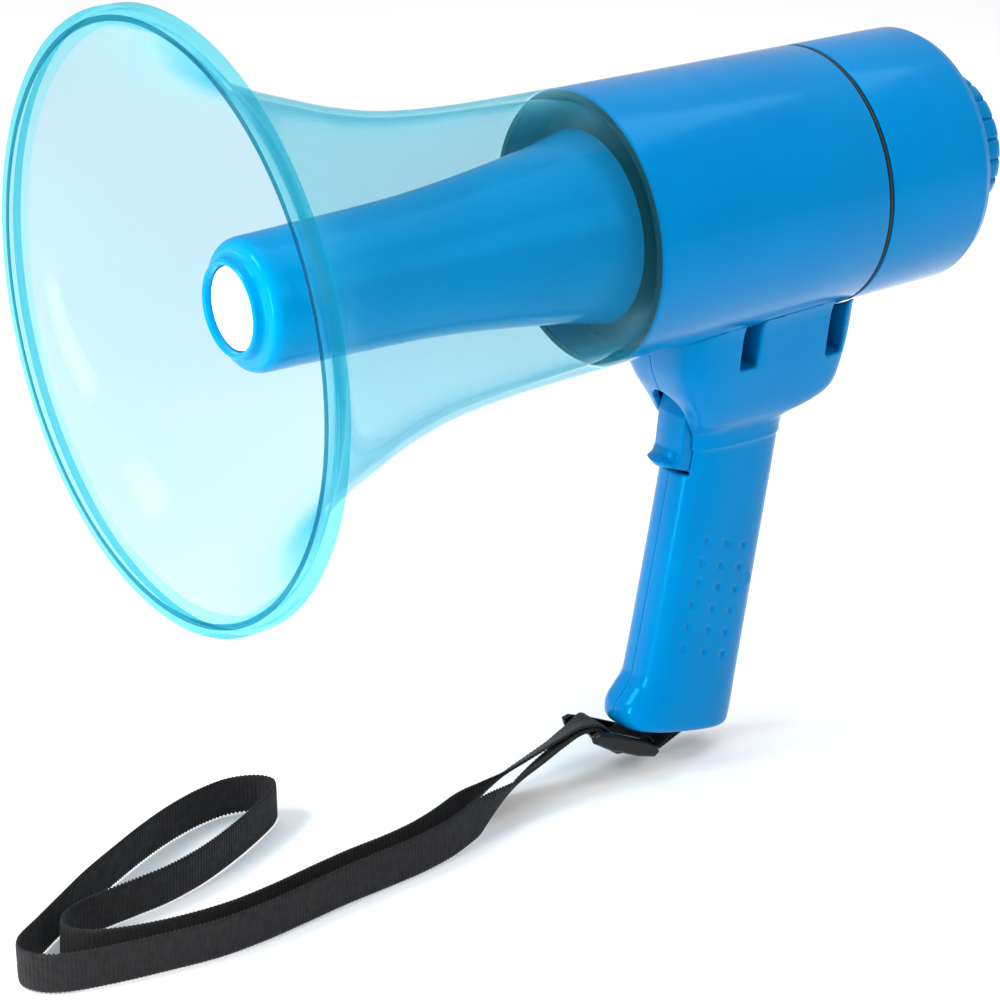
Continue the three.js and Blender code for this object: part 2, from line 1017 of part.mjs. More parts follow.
// The strap is one length of webbing. It starts over the pin, comes forward
// through the buckle, runs round the loop and comes back under the pin.
// Each entry: x, y, z of the centre line, and the turn in degrees of the width
// direction from flat (0, across X) to standing on edge (90).
const PIN_R = 1.9 + 0.35 + STRAP_T / 2;
const onPin = (deg) => [
  PIN_C[0] + PIN_R * Math.cos((deg * Math.PI) / 180),
  PIN_C[1] + PIN_R * Math.sin((deg * Math.PI) / 180),
];
const STRAND = STRAP_T / 2 + 0.17; // half the spacing of the two strands
const weave = (t, side) => {
  // the stack goes over the rear bar, under the middle one, over the front one
  const phase = (Math.PI * t) / BAR_PITCH;
  const n = -WEAVE * Math.cos(phase);
  const slope = ((WEAVE * Math.PI) / BAR_PITCH) * Math.sin(phase);
  const k = Math.hypot(1, slope);
  return bk(t - (side * STRAND * slope) / k, n + (side * STRAND) / k);
};
const flat = (pts) => pts.map(([y, z]) => [0, y, z, 0]);
const edgeZ = STRAP_FLOOR + STRAP_W / 2 + 0.4;
const FLOOR_RUN = [
  // listed from its end: front run, outer fold, far run, right-hand fold, near
  // return, inner fold, inner run back along the front run: x, y
  [15.4, 113],
  [21.4, 99],
  [25.2, 84],
  [27.4, 68],
  [29.4, 50],
  [32.4, 32],
  [35.2, 14],
  [36.3, -5],
  [34.2, -24],
  [31.4, -42],
  [27.6, -57],
  [22.6, -65.4],
  [15.2, -68.8],
  [8.2, -65.6],
  [0.6, -54.6],
  [-8.4, -41.4],
  [-19.4, -25],
  [-28.6, -9],
  [-37.6, 7.6],
  [-44.6, 23],
  [-49.4, 38],
  [-50.8, 51],
  [-47.4, 60.6],
  [-41.6, 64.4],
  [-36, 61.4],
  [-28.6, 50.6],
  [-19.6, 34.6],
  [-11.6, 17.2],
  [-6.6, 0.6],
  [-4.6, -14],
  [-3.2, -27],
  [-0.8, -39.4],
  [4.4, -47.6],
  [11.4, -49.2],
  [18.2, -44],
  [23.6, -31],
  [26.8, -14],
  [27.6, 4],
  [25.6, 22],
  [22.2, 40],
  [19.4, 57],
  [17.8, 73],
  [15.2, 87],
  [10.8, 100],
  [5.6, 111],
];
const STRAP_PATH = [
  ...flat([onPin(84), onPin(120)]),
  ...flat([
    [PIN_C[0] - 5, PIN_C[1] + PIN_R - 1.4],
    weave(17, 1),
    weave(13.5, 1),
    weave(11, 1),
    weave(8, 1),
    weave(5.5, 1),
    weave(3, 1),
    weave(0, 1),
    weave(-3, 1),
    weave(-5.5, 1),
    weave(-8, 1),
    weave(-11, 1),
    weave(-13.6, 1),
  ]),
  [-0.3, 166.4, -191.4, -18],
  [-1, 159, -194.6, -30],
  [-2.2, 151, -198.2, -43],
  [-3.2, 142.6, -201.6, -59],
  [-2.6, 132.6, -204.8, -77],
  [0.8, 122, edgeZ, -90],
  ...FLOOR_RUN.map(([x, y]) => [x, y, edgeZ, -90]).reverse(),
  [10.4, 123.4, edgeZ, -90],
  [6.4, 133, -205.2, -77],
  [3.2, 142.6, -202.6, -59],
  [1.6, 151, -199.8, -43],
  [0.8, 158.5, -196.9, -30],
  [0.3, 165.6, -193.8, -18],
  ...flat([
    weave(-13.6, -1),
    weave(-11, -1),
    weave(-8, -1),
    weave(-5.5, -1),
    weave(-3, -1),
    weave(0, -1),
    weave(3, -1),
    weave(5.5, -1),
    weave(8, -1),
    weave(11, -1),
    weave(13.5, -1),
    weave(17, -1),
    [PIN_C[0] - 6, PIN_C[1] - PIN_R - 0.4],
  ]),
  ...flat([onPin(-90), onPin(-45), onPin(0), onPin(40), onPin(72)]),
];
function webbing(path, width, thickness) {
  const n = path.length - 1;
  const g = new THREE.BoxGeometry(1, n, 1, 1, n, 1);
  const p = g.getAttribute("position");
  const at = path.map(([x, y, z]) => new THREE.Vector3(x, y, z));
  const frames = path.map(([, , , turn], i) => {
    const t = at[Math.min(i + 1, n)].clone().sub(at[Math.max(i - 1, 0)]);
    t.normalize();
    // across: to the left of the direction of travel, level with the ground;
    // the far edge of the flat strap becomes the upper edge on the floor
    return { t, turn: (turn * Math.PI) / 180 };
  });
  let w = new THREE.Vector3(-1, 0, 0);
  const widths = frames.map(({ t, turn }, i) => {
    let target;
    if (turn <= -Math.PI / 2 + 1e-6) target = new THREE.Vector3(0, 0, -1);
    else
      target = new THREE.Vector3(-Math.cos(turn), 0, Math.sin(turn));
    target.addScaledVector(t, -target.dot(t)).normalize();
    w = target;
    return w.clone();
  });
  for (let i = 0; i < p.count; i++) {
    const k = Math.round(p.getY(i) + n / 2);
    const { t } = frames[k];
    const wide = widths[k];
    const normal = new THREE.Vector3().crossVectors(t, wide).normalize();
    const v = at[k]
      .clone()
      .addScaledVector(wide, p.getX(i) * width)
      .addScaledVector(normal, p.getZ(i) * thickness);
    p.setXYZ(i, v.x, v.y, v.z);
  }
  return solid(g);
}
piece(
  "wrist_strap",
  webbing(STRAP_PATH, STRAP_W, STRAP_T),
  mat(0x1b1c20, 0.9),
  strapGroup,
);

export default root;
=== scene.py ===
import json
import math

import bpy
import numpy as np
from mathutils import Matrix, Vector

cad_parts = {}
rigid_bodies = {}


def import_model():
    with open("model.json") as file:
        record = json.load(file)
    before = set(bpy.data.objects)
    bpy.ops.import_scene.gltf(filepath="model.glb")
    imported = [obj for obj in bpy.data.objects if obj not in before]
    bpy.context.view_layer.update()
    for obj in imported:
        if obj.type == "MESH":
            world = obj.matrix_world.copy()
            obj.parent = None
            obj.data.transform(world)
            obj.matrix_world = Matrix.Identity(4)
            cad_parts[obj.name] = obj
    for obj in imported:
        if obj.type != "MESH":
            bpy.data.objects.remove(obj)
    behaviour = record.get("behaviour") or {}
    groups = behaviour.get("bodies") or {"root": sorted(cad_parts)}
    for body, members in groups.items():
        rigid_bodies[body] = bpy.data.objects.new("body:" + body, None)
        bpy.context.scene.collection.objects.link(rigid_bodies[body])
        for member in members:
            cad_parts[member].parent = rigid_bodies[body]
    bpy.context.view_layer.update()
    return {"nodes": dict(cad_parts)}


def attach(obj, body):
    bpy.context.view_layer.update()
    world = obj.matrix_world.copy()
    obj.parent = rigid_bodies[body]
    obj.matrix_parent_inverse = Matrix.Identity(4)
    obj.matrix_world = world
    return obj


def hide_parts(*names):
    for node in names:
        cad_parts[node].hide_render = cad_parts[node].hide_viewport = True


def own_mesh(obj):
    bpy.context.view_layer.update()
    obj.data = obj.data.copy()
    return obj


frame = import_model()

# Lengths below are millimetres from the centre of the mouth plane unless a name
# ends in _m; row() turns them into the row's metres.
ORIGIN = np.array([0.0, 225.0, -140.0])


def row(p):
    return (np.asarray(p, float) - ORIGIN) / 1000.0


# ------------------------------------------------------------------ camera
cam = bpy.data.cameras.new("view")
cam.lens = 144.0
cam.sensor_width = 36.0
cam.clip_start, cam.clip_end = 0.05, 50
cam_obj = bpy.data.objects.new("view", cam)
bpy.context.scene.collection.objects.link(cam_obj)
AZ, EL = math.radians(54.885), math.radians(22.953)
right = Vector((math.cos(AZ), math.sin(AZ), 0))
back = Vector((math.sin(AZ) * math.cos(EL), -math.cos(AZ) * math.cos(EL), math.sin(EL)))
up = back.cross(right)
m = Matrix((right, up, back)).transposed().to_4x4()
m.translation = Vector((1.05137, -0.82953, 0.59076))
cam_obj.matrix_world = m
bpy.context.scene.camera = cam_obj
bpy.context.scene.view_settings.view_transform = "Standard"
bpy.context.scene.view_settings.look = "None"


# --------------------------------------------------------------- materials
def lin(c):
    return tuple(
        (v / 12.92 if v <= 0.04045 else ((v + 0.055) / 1.055) ** 2.4) for v in c
    ) + (1.0,)


def rgb(r, g, b):
    return lin((r / 255, g / 255, b / 255))


class Mat:
    """A Principled material with helpers for its noise layers."""

    def __init__(self, name, **sockets):
        self.m = bpy.data.materials.new(name)
        self.m.use_nodes = True
        self.nt = self.m.node_tree
        self.p = self.nt.nodes["Principled BSDF"]
        for k, v in sockets.items():
            self.p.inputs[k.replace("_", " ")].default_value = v
        self.tc = self.nt.nodes.new("ShaderNodeTexCoord")

    def node(self, kind, **props):
        n = self.nt.nodes.new(kind)
        for k, v in props.items():
            setattr(n, k, v)
        return n

    def link(self, a, b):
        self.nt.links.new(a, b)

    def noise(self, scale, detail=3.0, rough=0.55, stretch=(1, 1, 1)):
        mp = self.node("ShaderNodeMapping")
        mp.inputs["Scale"].default_value = stretch
        self.link(self.tc.outputs["Object"], mp.inputs["Vector"])
        n = self.node("ShaderNodeTexNoise")
        n.inputs["Scale"].default_value = scale
        n.inputs["Detail"].default_value = detail
        n.inputs["Roughness"].default_value = rough
        self.link(mp.outputs["Vector"], n.inputs["Vector"])
        return n.outputs["Fac"]

    def ramp(self, fac, stops):
        r = self.node("ShaderNodeValToRGB")
        els = r.color_ramp.elements
        while len(els) < len(stops):
            els.new(0.5)
        for e, (pos, col) in zip(els, stops):
            e.position = pos
            e.color = col if len(col) == 4 else (*col, 1)
        self.link(fac, r.inputs["Fac"])
        return r.outputs["Color"]

    def span(self, fac, lo, hi):
        r = self.node("ShaderNodeMapRange")
        r.inputs["From Min"].default_value = 0.3
        r.inputs["From Max"].default_value = 0.7
        r.inputs["To Min"].default_value = lo
        r.inputs["To Max"].default_value = hi
        self.link(fac, r.inputs["Value"])
        return r.outputs["Result"]

    def colour(self, fac, a, b):
        self.link(self.ramp(fac, [(0.3, a), (0.7, b)]), self.p.inputs["Base Color"])

    def rough(self, fac, lo, hi):
        self.link(self.span(fac, lo, hi), self.p.inputs["Roughness"])

    def bump(self, height, strength, distance):
        b = self.node("ShaderNodeBump")
        b.inputs["Strength"].default_value = strength
        b.inputs["Distance"].default_value = distance
        self.link(height, b.inputs["Height"])
        self.link(b.outputs["Normal"], self.p.inputs["Normal"])


def plastic(name, a, b, rough=(0.24, 0.34), bump=0.05, grain=900, coat=0.0, ior=1.5, spec=0.5, tint=(1, 1, 1, 1)):
    k = Mat(name, IOR=ior, Coat_Weight=coat, Coat_Roughness=0.08, Specular_IOR_Level=spec, Specular_Tint=tint)
    k.colour(k.noise(26, 4), a, b)
    k.rough(k.noise(60, 5), *rough)
    k.bump(k.noise(grain, 2), bump, 0.0004)
    return k.m


def metal(name, a, b, rough=(0.22, 0.38), stretch=(1, 1, 1), bump=0.12):
    k = Mat(name, Metallic=1.0)
    k.colour(k.noise(120, 4, stretch=stretch), a, b)
    k.rough(k.noise(200, 5, stretch=stretch), *rough)
    k.bump(k.noise(1500, 3, stretch=stretch), bump, 0.0002)
    return k.m


SHEEN = (0.0, 0.66, 1.0, 1)
BLUE = plastic("blue_shell", rgb(0, 110, 170), rgb(0, 116, 177), (0.13, 0.2), 0.02, 420, spec=0.3, tint=SHEEN)
# painted light: the shell's blue plastic made lighter for the reflector cone, standing in for the brighter look it has
# behind the tinted horn
BLUE_REFLECTOR_LIT = plastic("blue_reflector_painted_light", rgb(0, 130, 182), rgb(0, 137, 190), (0.13, 0.2), 0.02, 420, spec=0.3, tint=SHEEN)
BLUE_DIAL = plastic("blue_dial", rgb(0, 106, 162), rgb(0, 114, 172), (0.2, 0.3), 0.05, 700, spec=0.3, tint=SHEEN)
BLACK = plastic("black_satin", rgb(20, 21, 24), rgb(30, 31, 35), (0.38, 0.52), 0.12, 1400)
BLACK_GLOSS = plastic("black_gloss", rgb(5, 5, 7), rgb(12, 12, 14), (0.13, 0.22), 0.04, 700, spec=0.26)
THROAT = plastic("throat_black", rgb(30, 50, 72), rgb(44, 68, 92), (0.25, 0.4), 0.1, 900)
RUBBER = plastic("black_rubber", rgb(9, 9, 10), rgb(17, 17, 18), (0.55, 0.72), 0.25, 2200)
WHITE = plastic("white_disc", rgb(243, 246, 252), rgb(247, 249, 253), (0.32, 0.4), 0.03, 1200)
STEEL = metal("zinc_steel", rgb(188, 192, 198), rgb(205, 208, 212))
BRASS = metal("copper_winding", rgb(190, 120, 70), rgb(208, 140, 84), stretch=(1, 60, 1))
ALUMINIUM = metal("extruded_aluminium", rgb(190, 192, 196), rgb(212, 214, 218), stretch=(1, 30, 1))
FERRITE = plastic("ferrite", rgb(42, 44, 48), rgb(58, 60, 64), (0.6, 0.78), 0.5, 900)
CELL = plastic("cell_wrap", rgb(52, 58, 66), rgb(64, 70, 78), (0.28, 0.4), 0.05, 500, coat=0.2)
PHENOLIC = plastic("diaphragm_film", rgb(150, 112, 60), rgb(170, 130, 74), (0.3, 0.42), 0.1, 700)
BOARD = plastic("circuit_board", rgb(22, 96, 56), rgb(34, 118, 70), (0.35, 0.5), 0.2, 500)


def clear_plastic(name, tints, body):
    """Cyan clear polycarbonate: tinted see-through, deeper tint at a grazing look,
    with a sharp gloss on top."""
    m = bpy.data.materials.new(name)
    m.use_nodes = True
    nt = m.node_tree
    nt.nodes.clear()
    out = nt.nodes.new("ShaderNodeOutputMaterial")
    mix = nt.nodes.new("ShaderNodeMixShader")
    see = nt.nodes.new("ShaderNodeBsdfTransparent")
    gloss = nt.nodes.new("ShaderNodeBsdfPrincipled")
    gloss.inputs["Base Color"].default_value = rgb(*body)
    gloss.inputs["Roughness"].default_value = 0.07
    gloss.inputs["IOR"].default_value = 1.585
    gloss.inputs["Coat Weight"].default_value = 0.5
    lw = nt.nodes.new("ShaderNodeLayerWeight")
    lw.inputs["Blend"].default_value = 0.5
    tint = nt.nodes.new("ShaderNodeValToRGB")
    e = tint.color_ramp.elements
    e[0].position, e[0].color = 0.0, tints[0]
    e[1].position, e[1].color = 1.0, tints[2]
    mid = e.new(0.7)
    mid.color = tints[1]
    tc = nt.nodes.new("ShaderNodeTexCoord")
    nz = nt.nodes.new("ShaderNodeTexNoise")
    nz.inputs["Scale"].default_value = 22
    nz.inputs["Detail"].default_value = 3
    nt.links.new(tc.outputs["Object"], nz.inputs["Vector"])
    bump = nt.nodes.new("ShaderNodeBump")
    bump.inputs["Strength"].default_value = 0.05
    bump.inputs["Distance"].default_value = 0.002
    nt.links.new(nz.outputs["Fac"], bump.inputs["Height"])
    nt.links.new(bump.outputs["Normal"], gloss.inputs["Normal"])
    rough = nt.nodes.new("ShaderNodeMapRange")
    rough.inputs["To Min"].default_value = 0.05
    rough.inputs["To Max"].default_value = 0.1
    nt.links.new(nz.outputs["Fac"], rough.inputs["Value"])
    nt.links.new(rough.outputs["Result"], gloss.inputs["Roughness"])
    pw = nt.nodes.new("ShaderNodeMath")
    pw.operation = "POWER"
    pw.inputs[1].default_value = 4.5
    mr = nt.nodes.new("ShaderNodeMapRange")
    mr.inputs["To Min"].default_value = 0.035
    mr.inputs["To Max"].default_value = 0.8
    nt.links.new(lw.outputs["Facing"], tint.inputs["Fac"])
    nt.links.new(lw.outputs["Facing"], pw.inputs[0])
    nt.links.new(pw.outputs["Value"], mr.inputs["Value"])
    nt.links.new(tint.outputs["Color"], see.inputs["Color"])
    nt.links.new(mr.outputs["Result"], mix.inputs["Fac"])
    nt.links.new(see.outputs["BSDF"], mix.inputs[1])
    nt.links.new(gloss.outputs["BSDF"], mix.inputs[2])
    nt.links.new(mix.outputs["Shader"], out.inputs["Surface"])
    return m


CLEAR = clear_plastic("clear_cyan", ((0.72, 0.835, 0.885, 1), (0.81, 0.915, 0.935, 1), (0.05, 0.6, 0.72, 1)), (56, 196, 220))
# the solid ring of the rim is several times thicker than the wall, so it looks deeper
CLEAR_RIM = clear_plastic("clear_cyan_rim", ((0.56, 0.88, 0.92, 1), (0.46, 0.86, 0.91, 1), (0.03, 0.54, 0.68, 1)), (50, 200, 226))
# painted shade: a dark teal copy of the clear plastic for the thin line where the mouth's lip edge looks dark
CLEAR_EDGE_SHADE = clear_plastic("clear_cyan_edge_painted_shade", ((0.07, 0.44, 0.56, 1), (0.05, 0.38, 0.5, 1), (0.01, 0.22, 0.36, 1)), (8, 104, 138))


def webbing_material():
    """Woven polyester: the ribs are in the mesh, the yarn's fibres and sheen here."""
    k = Mat("webbing_black", Sheen_Weight=0.06, Sheen_Roughness=0.5, IOR=1.45, Specular_IOR_Level=0.3)
    k.colour(k.noise(700, 4), rgb(6, 6, 8), rgb(22, 22, 25))
    k.rough(k.noise(300, 4), 0.62, 0.86)
    k.bump(k.noise(2600, 2), 0.5, 0.0004)
    return k.m


WEBBING = webbing_material()


# -------------------------------------------------------------- mesh tools
def make(name, verts, faces, material, sharp=35.0):
    """verts in mouth millimetres."""
    me = bpy.data.meshes.new(name)
    v = row(verts).astype(np.float32)
    me.from_pydata(v.tolist(), [], [list(map(int, f)) for f in faces]) if not isinstance(
        faces, np.ndarray
    ) else fast(me, v, faces)
    me.validate()
    me.update()
    me.shade_smooth()
    if sharp is not None:
        me.set_sharp_from_angle(angle=math.radians(sharp))
    me.materials.append(material)
    o = bpy.data.objects.new(name, me)
    bpy.context.scene.collection.objects.link(o)
    return o


def fast(me, v, quads):
    n = len(quads)
    k = quads.shape[1]
    me.vertices.add(len(v))
    me.vertices.foreach_set("co", v.reshape(-1))
    me.loops.add(n * k)
    me.loops.foreach_set("vertex_index", quads.reshape(-1).astype(np.int32))
    me.polygons.add(n)
    me.polygons.foreach_set("loop_start", np.arange(0, n * k, k, dtype=np.int32))
    me.update(calc_edges=True)


def fillet(profile, default=0.35, steps=4):
    """Rounds the corners of a closed (r, y[, radius]) profile on or off the axis."""
    pts = [(p[0], p[1], p[2] if len(p) > 2 else default) for p in profile]
    n = len(pts)
    out = []
    for i, (r, y, rad) in enumerate(pts):
        a = Vector(pts[i - 1][:2])
        b = Vector((r, y))
        c = Vector(pts[(i + 1) % n][:2])
        u, w = (a - b), (c - b)
        if rad <= 0 or r < 1e-6 or u.length < 1e-6 or w.length < 1e-6:
            out.append((r, y))
            continue
        ang = u.angle(w)
        if ang > math.radians(172):
            out.append((r, y))
            continue
        cutl = min(rad / math.tan(ang / 2), 0.45 * u.length, 0.45 * w.length)
        p0, p1 = b + u.normalized() * cutl, b + w.normalized() * cutl
        for k in range(steps + 1):
            t = k / steps
            q = p0 * (1 - t) ** 2 + b * 2 * t * (1 - t) + p1 * t * t
            out.append((q.x, q.y))
    return out


def smooth_curve(pts, per):
    """Catmull-Rom through a list of equal-length tuples."""
    P = np.asarray(pts, float)
    out = []
    for i in range(len(P) - 1):
        p0, p1, p2, p3 = P[max(i - 1, 0)], P[i], P[i + 1], P[min(i + 2, len(P) - 1)]
        for k in range(per):
            t = k / per
            out.append(
                0.5
                * (
                    2 * p1
                    + (p2 - p0) * t
                    + (2 * p0 - 5 * p1 + 4 * p2 - p3) * t * t
                    + (3 * p1 - p0 - 3 * p2 + p3) * t**3
                )
            )
    out.append(P[-1])
    return np.array(out)


def revolve(name, profile, material, seg=192, sharp=32.0, radial=None, centre=(0, 0)):
    """A closed (r, y) loop turned about Y. radial(angle, r, y) may change r."""
    prof = np.asarray(profile, float)
    n = len(prof)
    th = np.linspace(0, 2 * math.pi, seg, endpoint=False)
    axis = prof[:, 0] < 1e-6
    ids = -np.ones((seg, n), int)
    verts = []
    for j in range(n):
        if axis[j]:
            ids[:, j] = len(verts)
            verts.append((centre[0], prof[j, 1], centre[1]))
        else:
            r = np.full(seg, prof[j, 0]) if radial is None else radial(th, prof[j, 0], prof[j, 1])
            ids[:, j] = np.arange(len(verts), len(verts) + seg)
            verts.extend(
                zip(centre[0] + r * np.cos(th), np.full(seg, prof[j, 1]), centre[1] + r * np.sin(th))
            )
    faces = []
    area = sum(
        prof[j, 0] * prof[(j + 1) % n, 1] - prof[(j + 1) % n, 0] * prof[j, 1] for j in range(n)
    )
    for j in range(n):
        k = (j + 1) % n
        if axis[j] and axis[k]:
            continue
        for i in range(seg):
            i2 = (i + 1) % seg
            f = [ids[i, j], ids[i2, j], ids[i2, k], ids[i, k]]
            f = [a for q, a in enumerate(f) if a not in f[:q]]
            faces.append(f[::-1] if area > 0 else f)
    return make(name, np.array(verts), faces, material, sharp)


# ------------------------------------------------------------ solid fields
def smin(a, b, k):
    h = np.clip(0.5 + 0.5 * (b - a) / k, 0, 1)
    return b + (a - b) * h - k * h * (1 - h)


def smax(a, b, k):
    return -smin(-a, -b, k)


def poly(px, py, pts):
    """Signed distance to a polygon, negative inside."""
    d = np.full(px.shape, 1e9)
    inside = np.zeros(px.shape, bool)
    n = len(pts)
    for i in range(n):
        ax, ay = pts[i]
        bx, by = pts[i - 1]
        ex, ey = bx - ax, by - ay
        wx, wy = px - ax, py - ay
        t = np.clip((wx * ex + wy * ey) / (ex * ex + ey * ey), 0, 1)
        d = np.minimum(d, (wx - ex * t) ** 2 + (wy - ey * t) ** 2)
        cross = (ay > py) != (by > py)
        with np.errstate(divide="ignore", invalid="ignore"):
            xi = (bx - ax) * (py - ay) / (by - ay + 1e-12) + ax
        inside ^= cross & (px < xi)
    d = np.sqrt(d)
    return np.where(inside, -d, d)


def superell(u, v, a, b, n):
    U, W = np.abs(u) / a + 1e-9, np.abs(v) / b + 1e-9
    g = (U**n + W**n) ** (1 / n)
    gu, gv = (U / g) ** (n - 1) / a, (W / g) ** (n - 1) / b
    return (g - 1) / np.sqrt(gu * gu + gv * gv)


def field_mesh(name, field, lo, hi, h, material, sharp=None, coarse=4, relax=2, keep=True):
    """A mesh of field(x, y, z) = 0 by surface nets, its vertices put on the surface."""
    lo, hi = np.asarray(lo, float), np.asarray(hi, float)
    n = np.ceil((hi - lo) / (h * coarse)).astype(int) * coarse + 1
    ax = [lo[i] + h * np.arange(n[i]) for i in range(3)]
    cx = [a[::coarse] for a in ax]
    C = field(*np.meshgrid(*cx, indexing="ij"))
    F = C
    for d in range(3):
        F = np.repeat(F, coarse, axis=d)
        F = np.take(F, np.arange(n[d]), axis=d) if F.shape[d] > n[d] else F
    band = np.abs(F) < h * coarse * 2.2
    F = np.where(F < 0, -99.0, 99.0)
    gi = np.nonzero(band)
    F[gi] = field(ax[0][gi[0]], ax[1][gi[1]], ax[2][gi[2]])
    # the outermost layer is outside
    F[0], F[-1] = 9, 9
    F[:, 0], F[:, -1] = 9, 9
    F[:, :, 0], F[:, :, -1] = 9, 9
    S = F < 0
    cnt = np.zeros(tuple(n - 1), np.int8)
    corners = [(i, j, k) for i in (0, 1) for j in (0, 1) for k in (0, 1)]
    for i, j, k in corners:
        cnt += S[i : n[0] - 1 + i, j : n[1] - 1 + j, k : n[2] - 1 + k]
    mixed = (cnt > 0) & (cnt < 8)
    ci = np.argwhere(mixed)
    ids = -np.ones(mixed.shape, np.int64)
    ids[mixed] = np.arange(len(ci))
    P, cn = np.zeros((len(ci), 3)), np.zeros(len(ci))
    for a in corners:
        for d in range(3):
            if a[d]:
                continue
            b = list(a)
            b[d] = 1
            fa = F[ci[:, 0] + a[0], ci[:, 1] + a[1], ci[:, 2] + a[2]]
            fb = F[ci[:, 0] + b[0], ci[:, 1] + b[1], ci[:, 2] + b[2]]
            mk = (fa < 0) != (fb < 0)
            t = fa[mk] / (fa[mk] - fb[mk])
            q = np.tile(np.array(a, float), (mk.sum(), 1))
            q[:, d] += t
            P[mk] += q
            cn[mk] += 1
    P = lo + (ci + P / cn[:, None]) * h
    quads = []
    for d in range(3):
        e, f = [q for q in range(3) if q != d]
        sl0, sl1 = [slice(None)] * 3, [slice(None)] * 3
        sl0[d], sl1[d] = slice(0, -1), slice(1, None)
        A, B = S[tuple(sl0)], S[tuple(sl1)]
        ch = np.argwhere(A != B)
        ok = (ch[:, e] > 0) & (ch[:, f] > 0) & (ch[:, e] < n[e] - 1) & (ch[:, f] < n[f] - 1)
        ch = ch[ok]
        out = A[tuple(ch.T)]

        def cell(de, df):
            q = ch.copy()
            q[:, e] += de
            q[:, f] += df
            return ids[tuple(q.T)]

        Q = np.stack([cell(-1, -1), cell(0, -1), cell(0, 0), cell(-1, 0)], 1)
        flip = out if d != 1 else ~out
        Q[~flip] = Q[~flip][:, ::-1]
        quads.append(Q)
    quads = np.concatenate(quads)
    quads = quads[(quads >= 0).all(1)]
    # even out the net, then put it back on the surface
    nv = len(P)
    for _ in range(relax):
        s, c = np.zeros((nv, 3)), np.zeros(nv)
        for a in range(4):
            b = (a + 1) % 4
            for k in range(3):
                s[:, k] += np.bincount(quads[:, a], P[quads[:, b], k], nv)
                s[:, k] += np.bincount(quads[:, b], P[quads[:, a], k], nv)
            c += np.bincount(quads[:, a], minlength=nv) + np.bincount(quads[:, b], minlength=nv)
        P = P * 0.5 + 0.5 * s / np.maximum(c, 1)[:, None]
        P = settle(field, P, h)
    if keep:  # the largest shell and what is inside it
        me_lab = np.arange(nv)
        for _ in range(400):
            mn = me_lab[quads].min(1)
            new = me_lab.copy()
            for a in range(4):
                np.minimum.at(new, quads[:, a], mn)
            new = new[new]
            if (new == me_lab).all():
                break
            me_lab = new
        lab, cts = np.unique(me_lab, return_counts=True)
        good = set(lab[cts > 0.02 * nv].tolist())
        vm = np.isin(me_lab, list(good))
        re = -np.ones(nv, np.int64)
        re[vm] = np.arange(vm.sum())
        quads = re[quads[vm[quads[:, 0]]]]
        P = P[vm]
    return make(name, P, quads, material, sharp)


def settle(field, P, h):
    for _ in range(2):
        e = 0.05
        f = field(P[:, 0], P[:, 1], P[:, 2])
        g = np.stack(
            [
                field(P[:, 0] + e, P[:, 1], P[:, 2]) - field(P[:, 0] - e, P[:, 1], P[:, 2]),
                field(P[:, 0], P[:, 1] + e, P[:, 2]) - field(P[:, 0], P[:, 1] - e, P[:, 2]),
                field(P[:, 0], P[:, 1], P[:, 2] + e) - field(P[:, 0], P[:, 1], P[:, 2] - e),
            ],
            1,
        ) / (2 * e)
        st = -f[:, None] * g / np.maximum((g * g).sum(1), 0.05)[:, None]
        ln = np.linalg.norm(st, axis=1)
        st *= np.minimum(1, 0.5 * h / np.maximum(ln, 1e-9))[:, None]
        P = P + st
    return P


def dress(piece, body, slot, *nodes):
    if nodes:
        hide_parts(*nodes)
    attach(piece, body)
    return piece

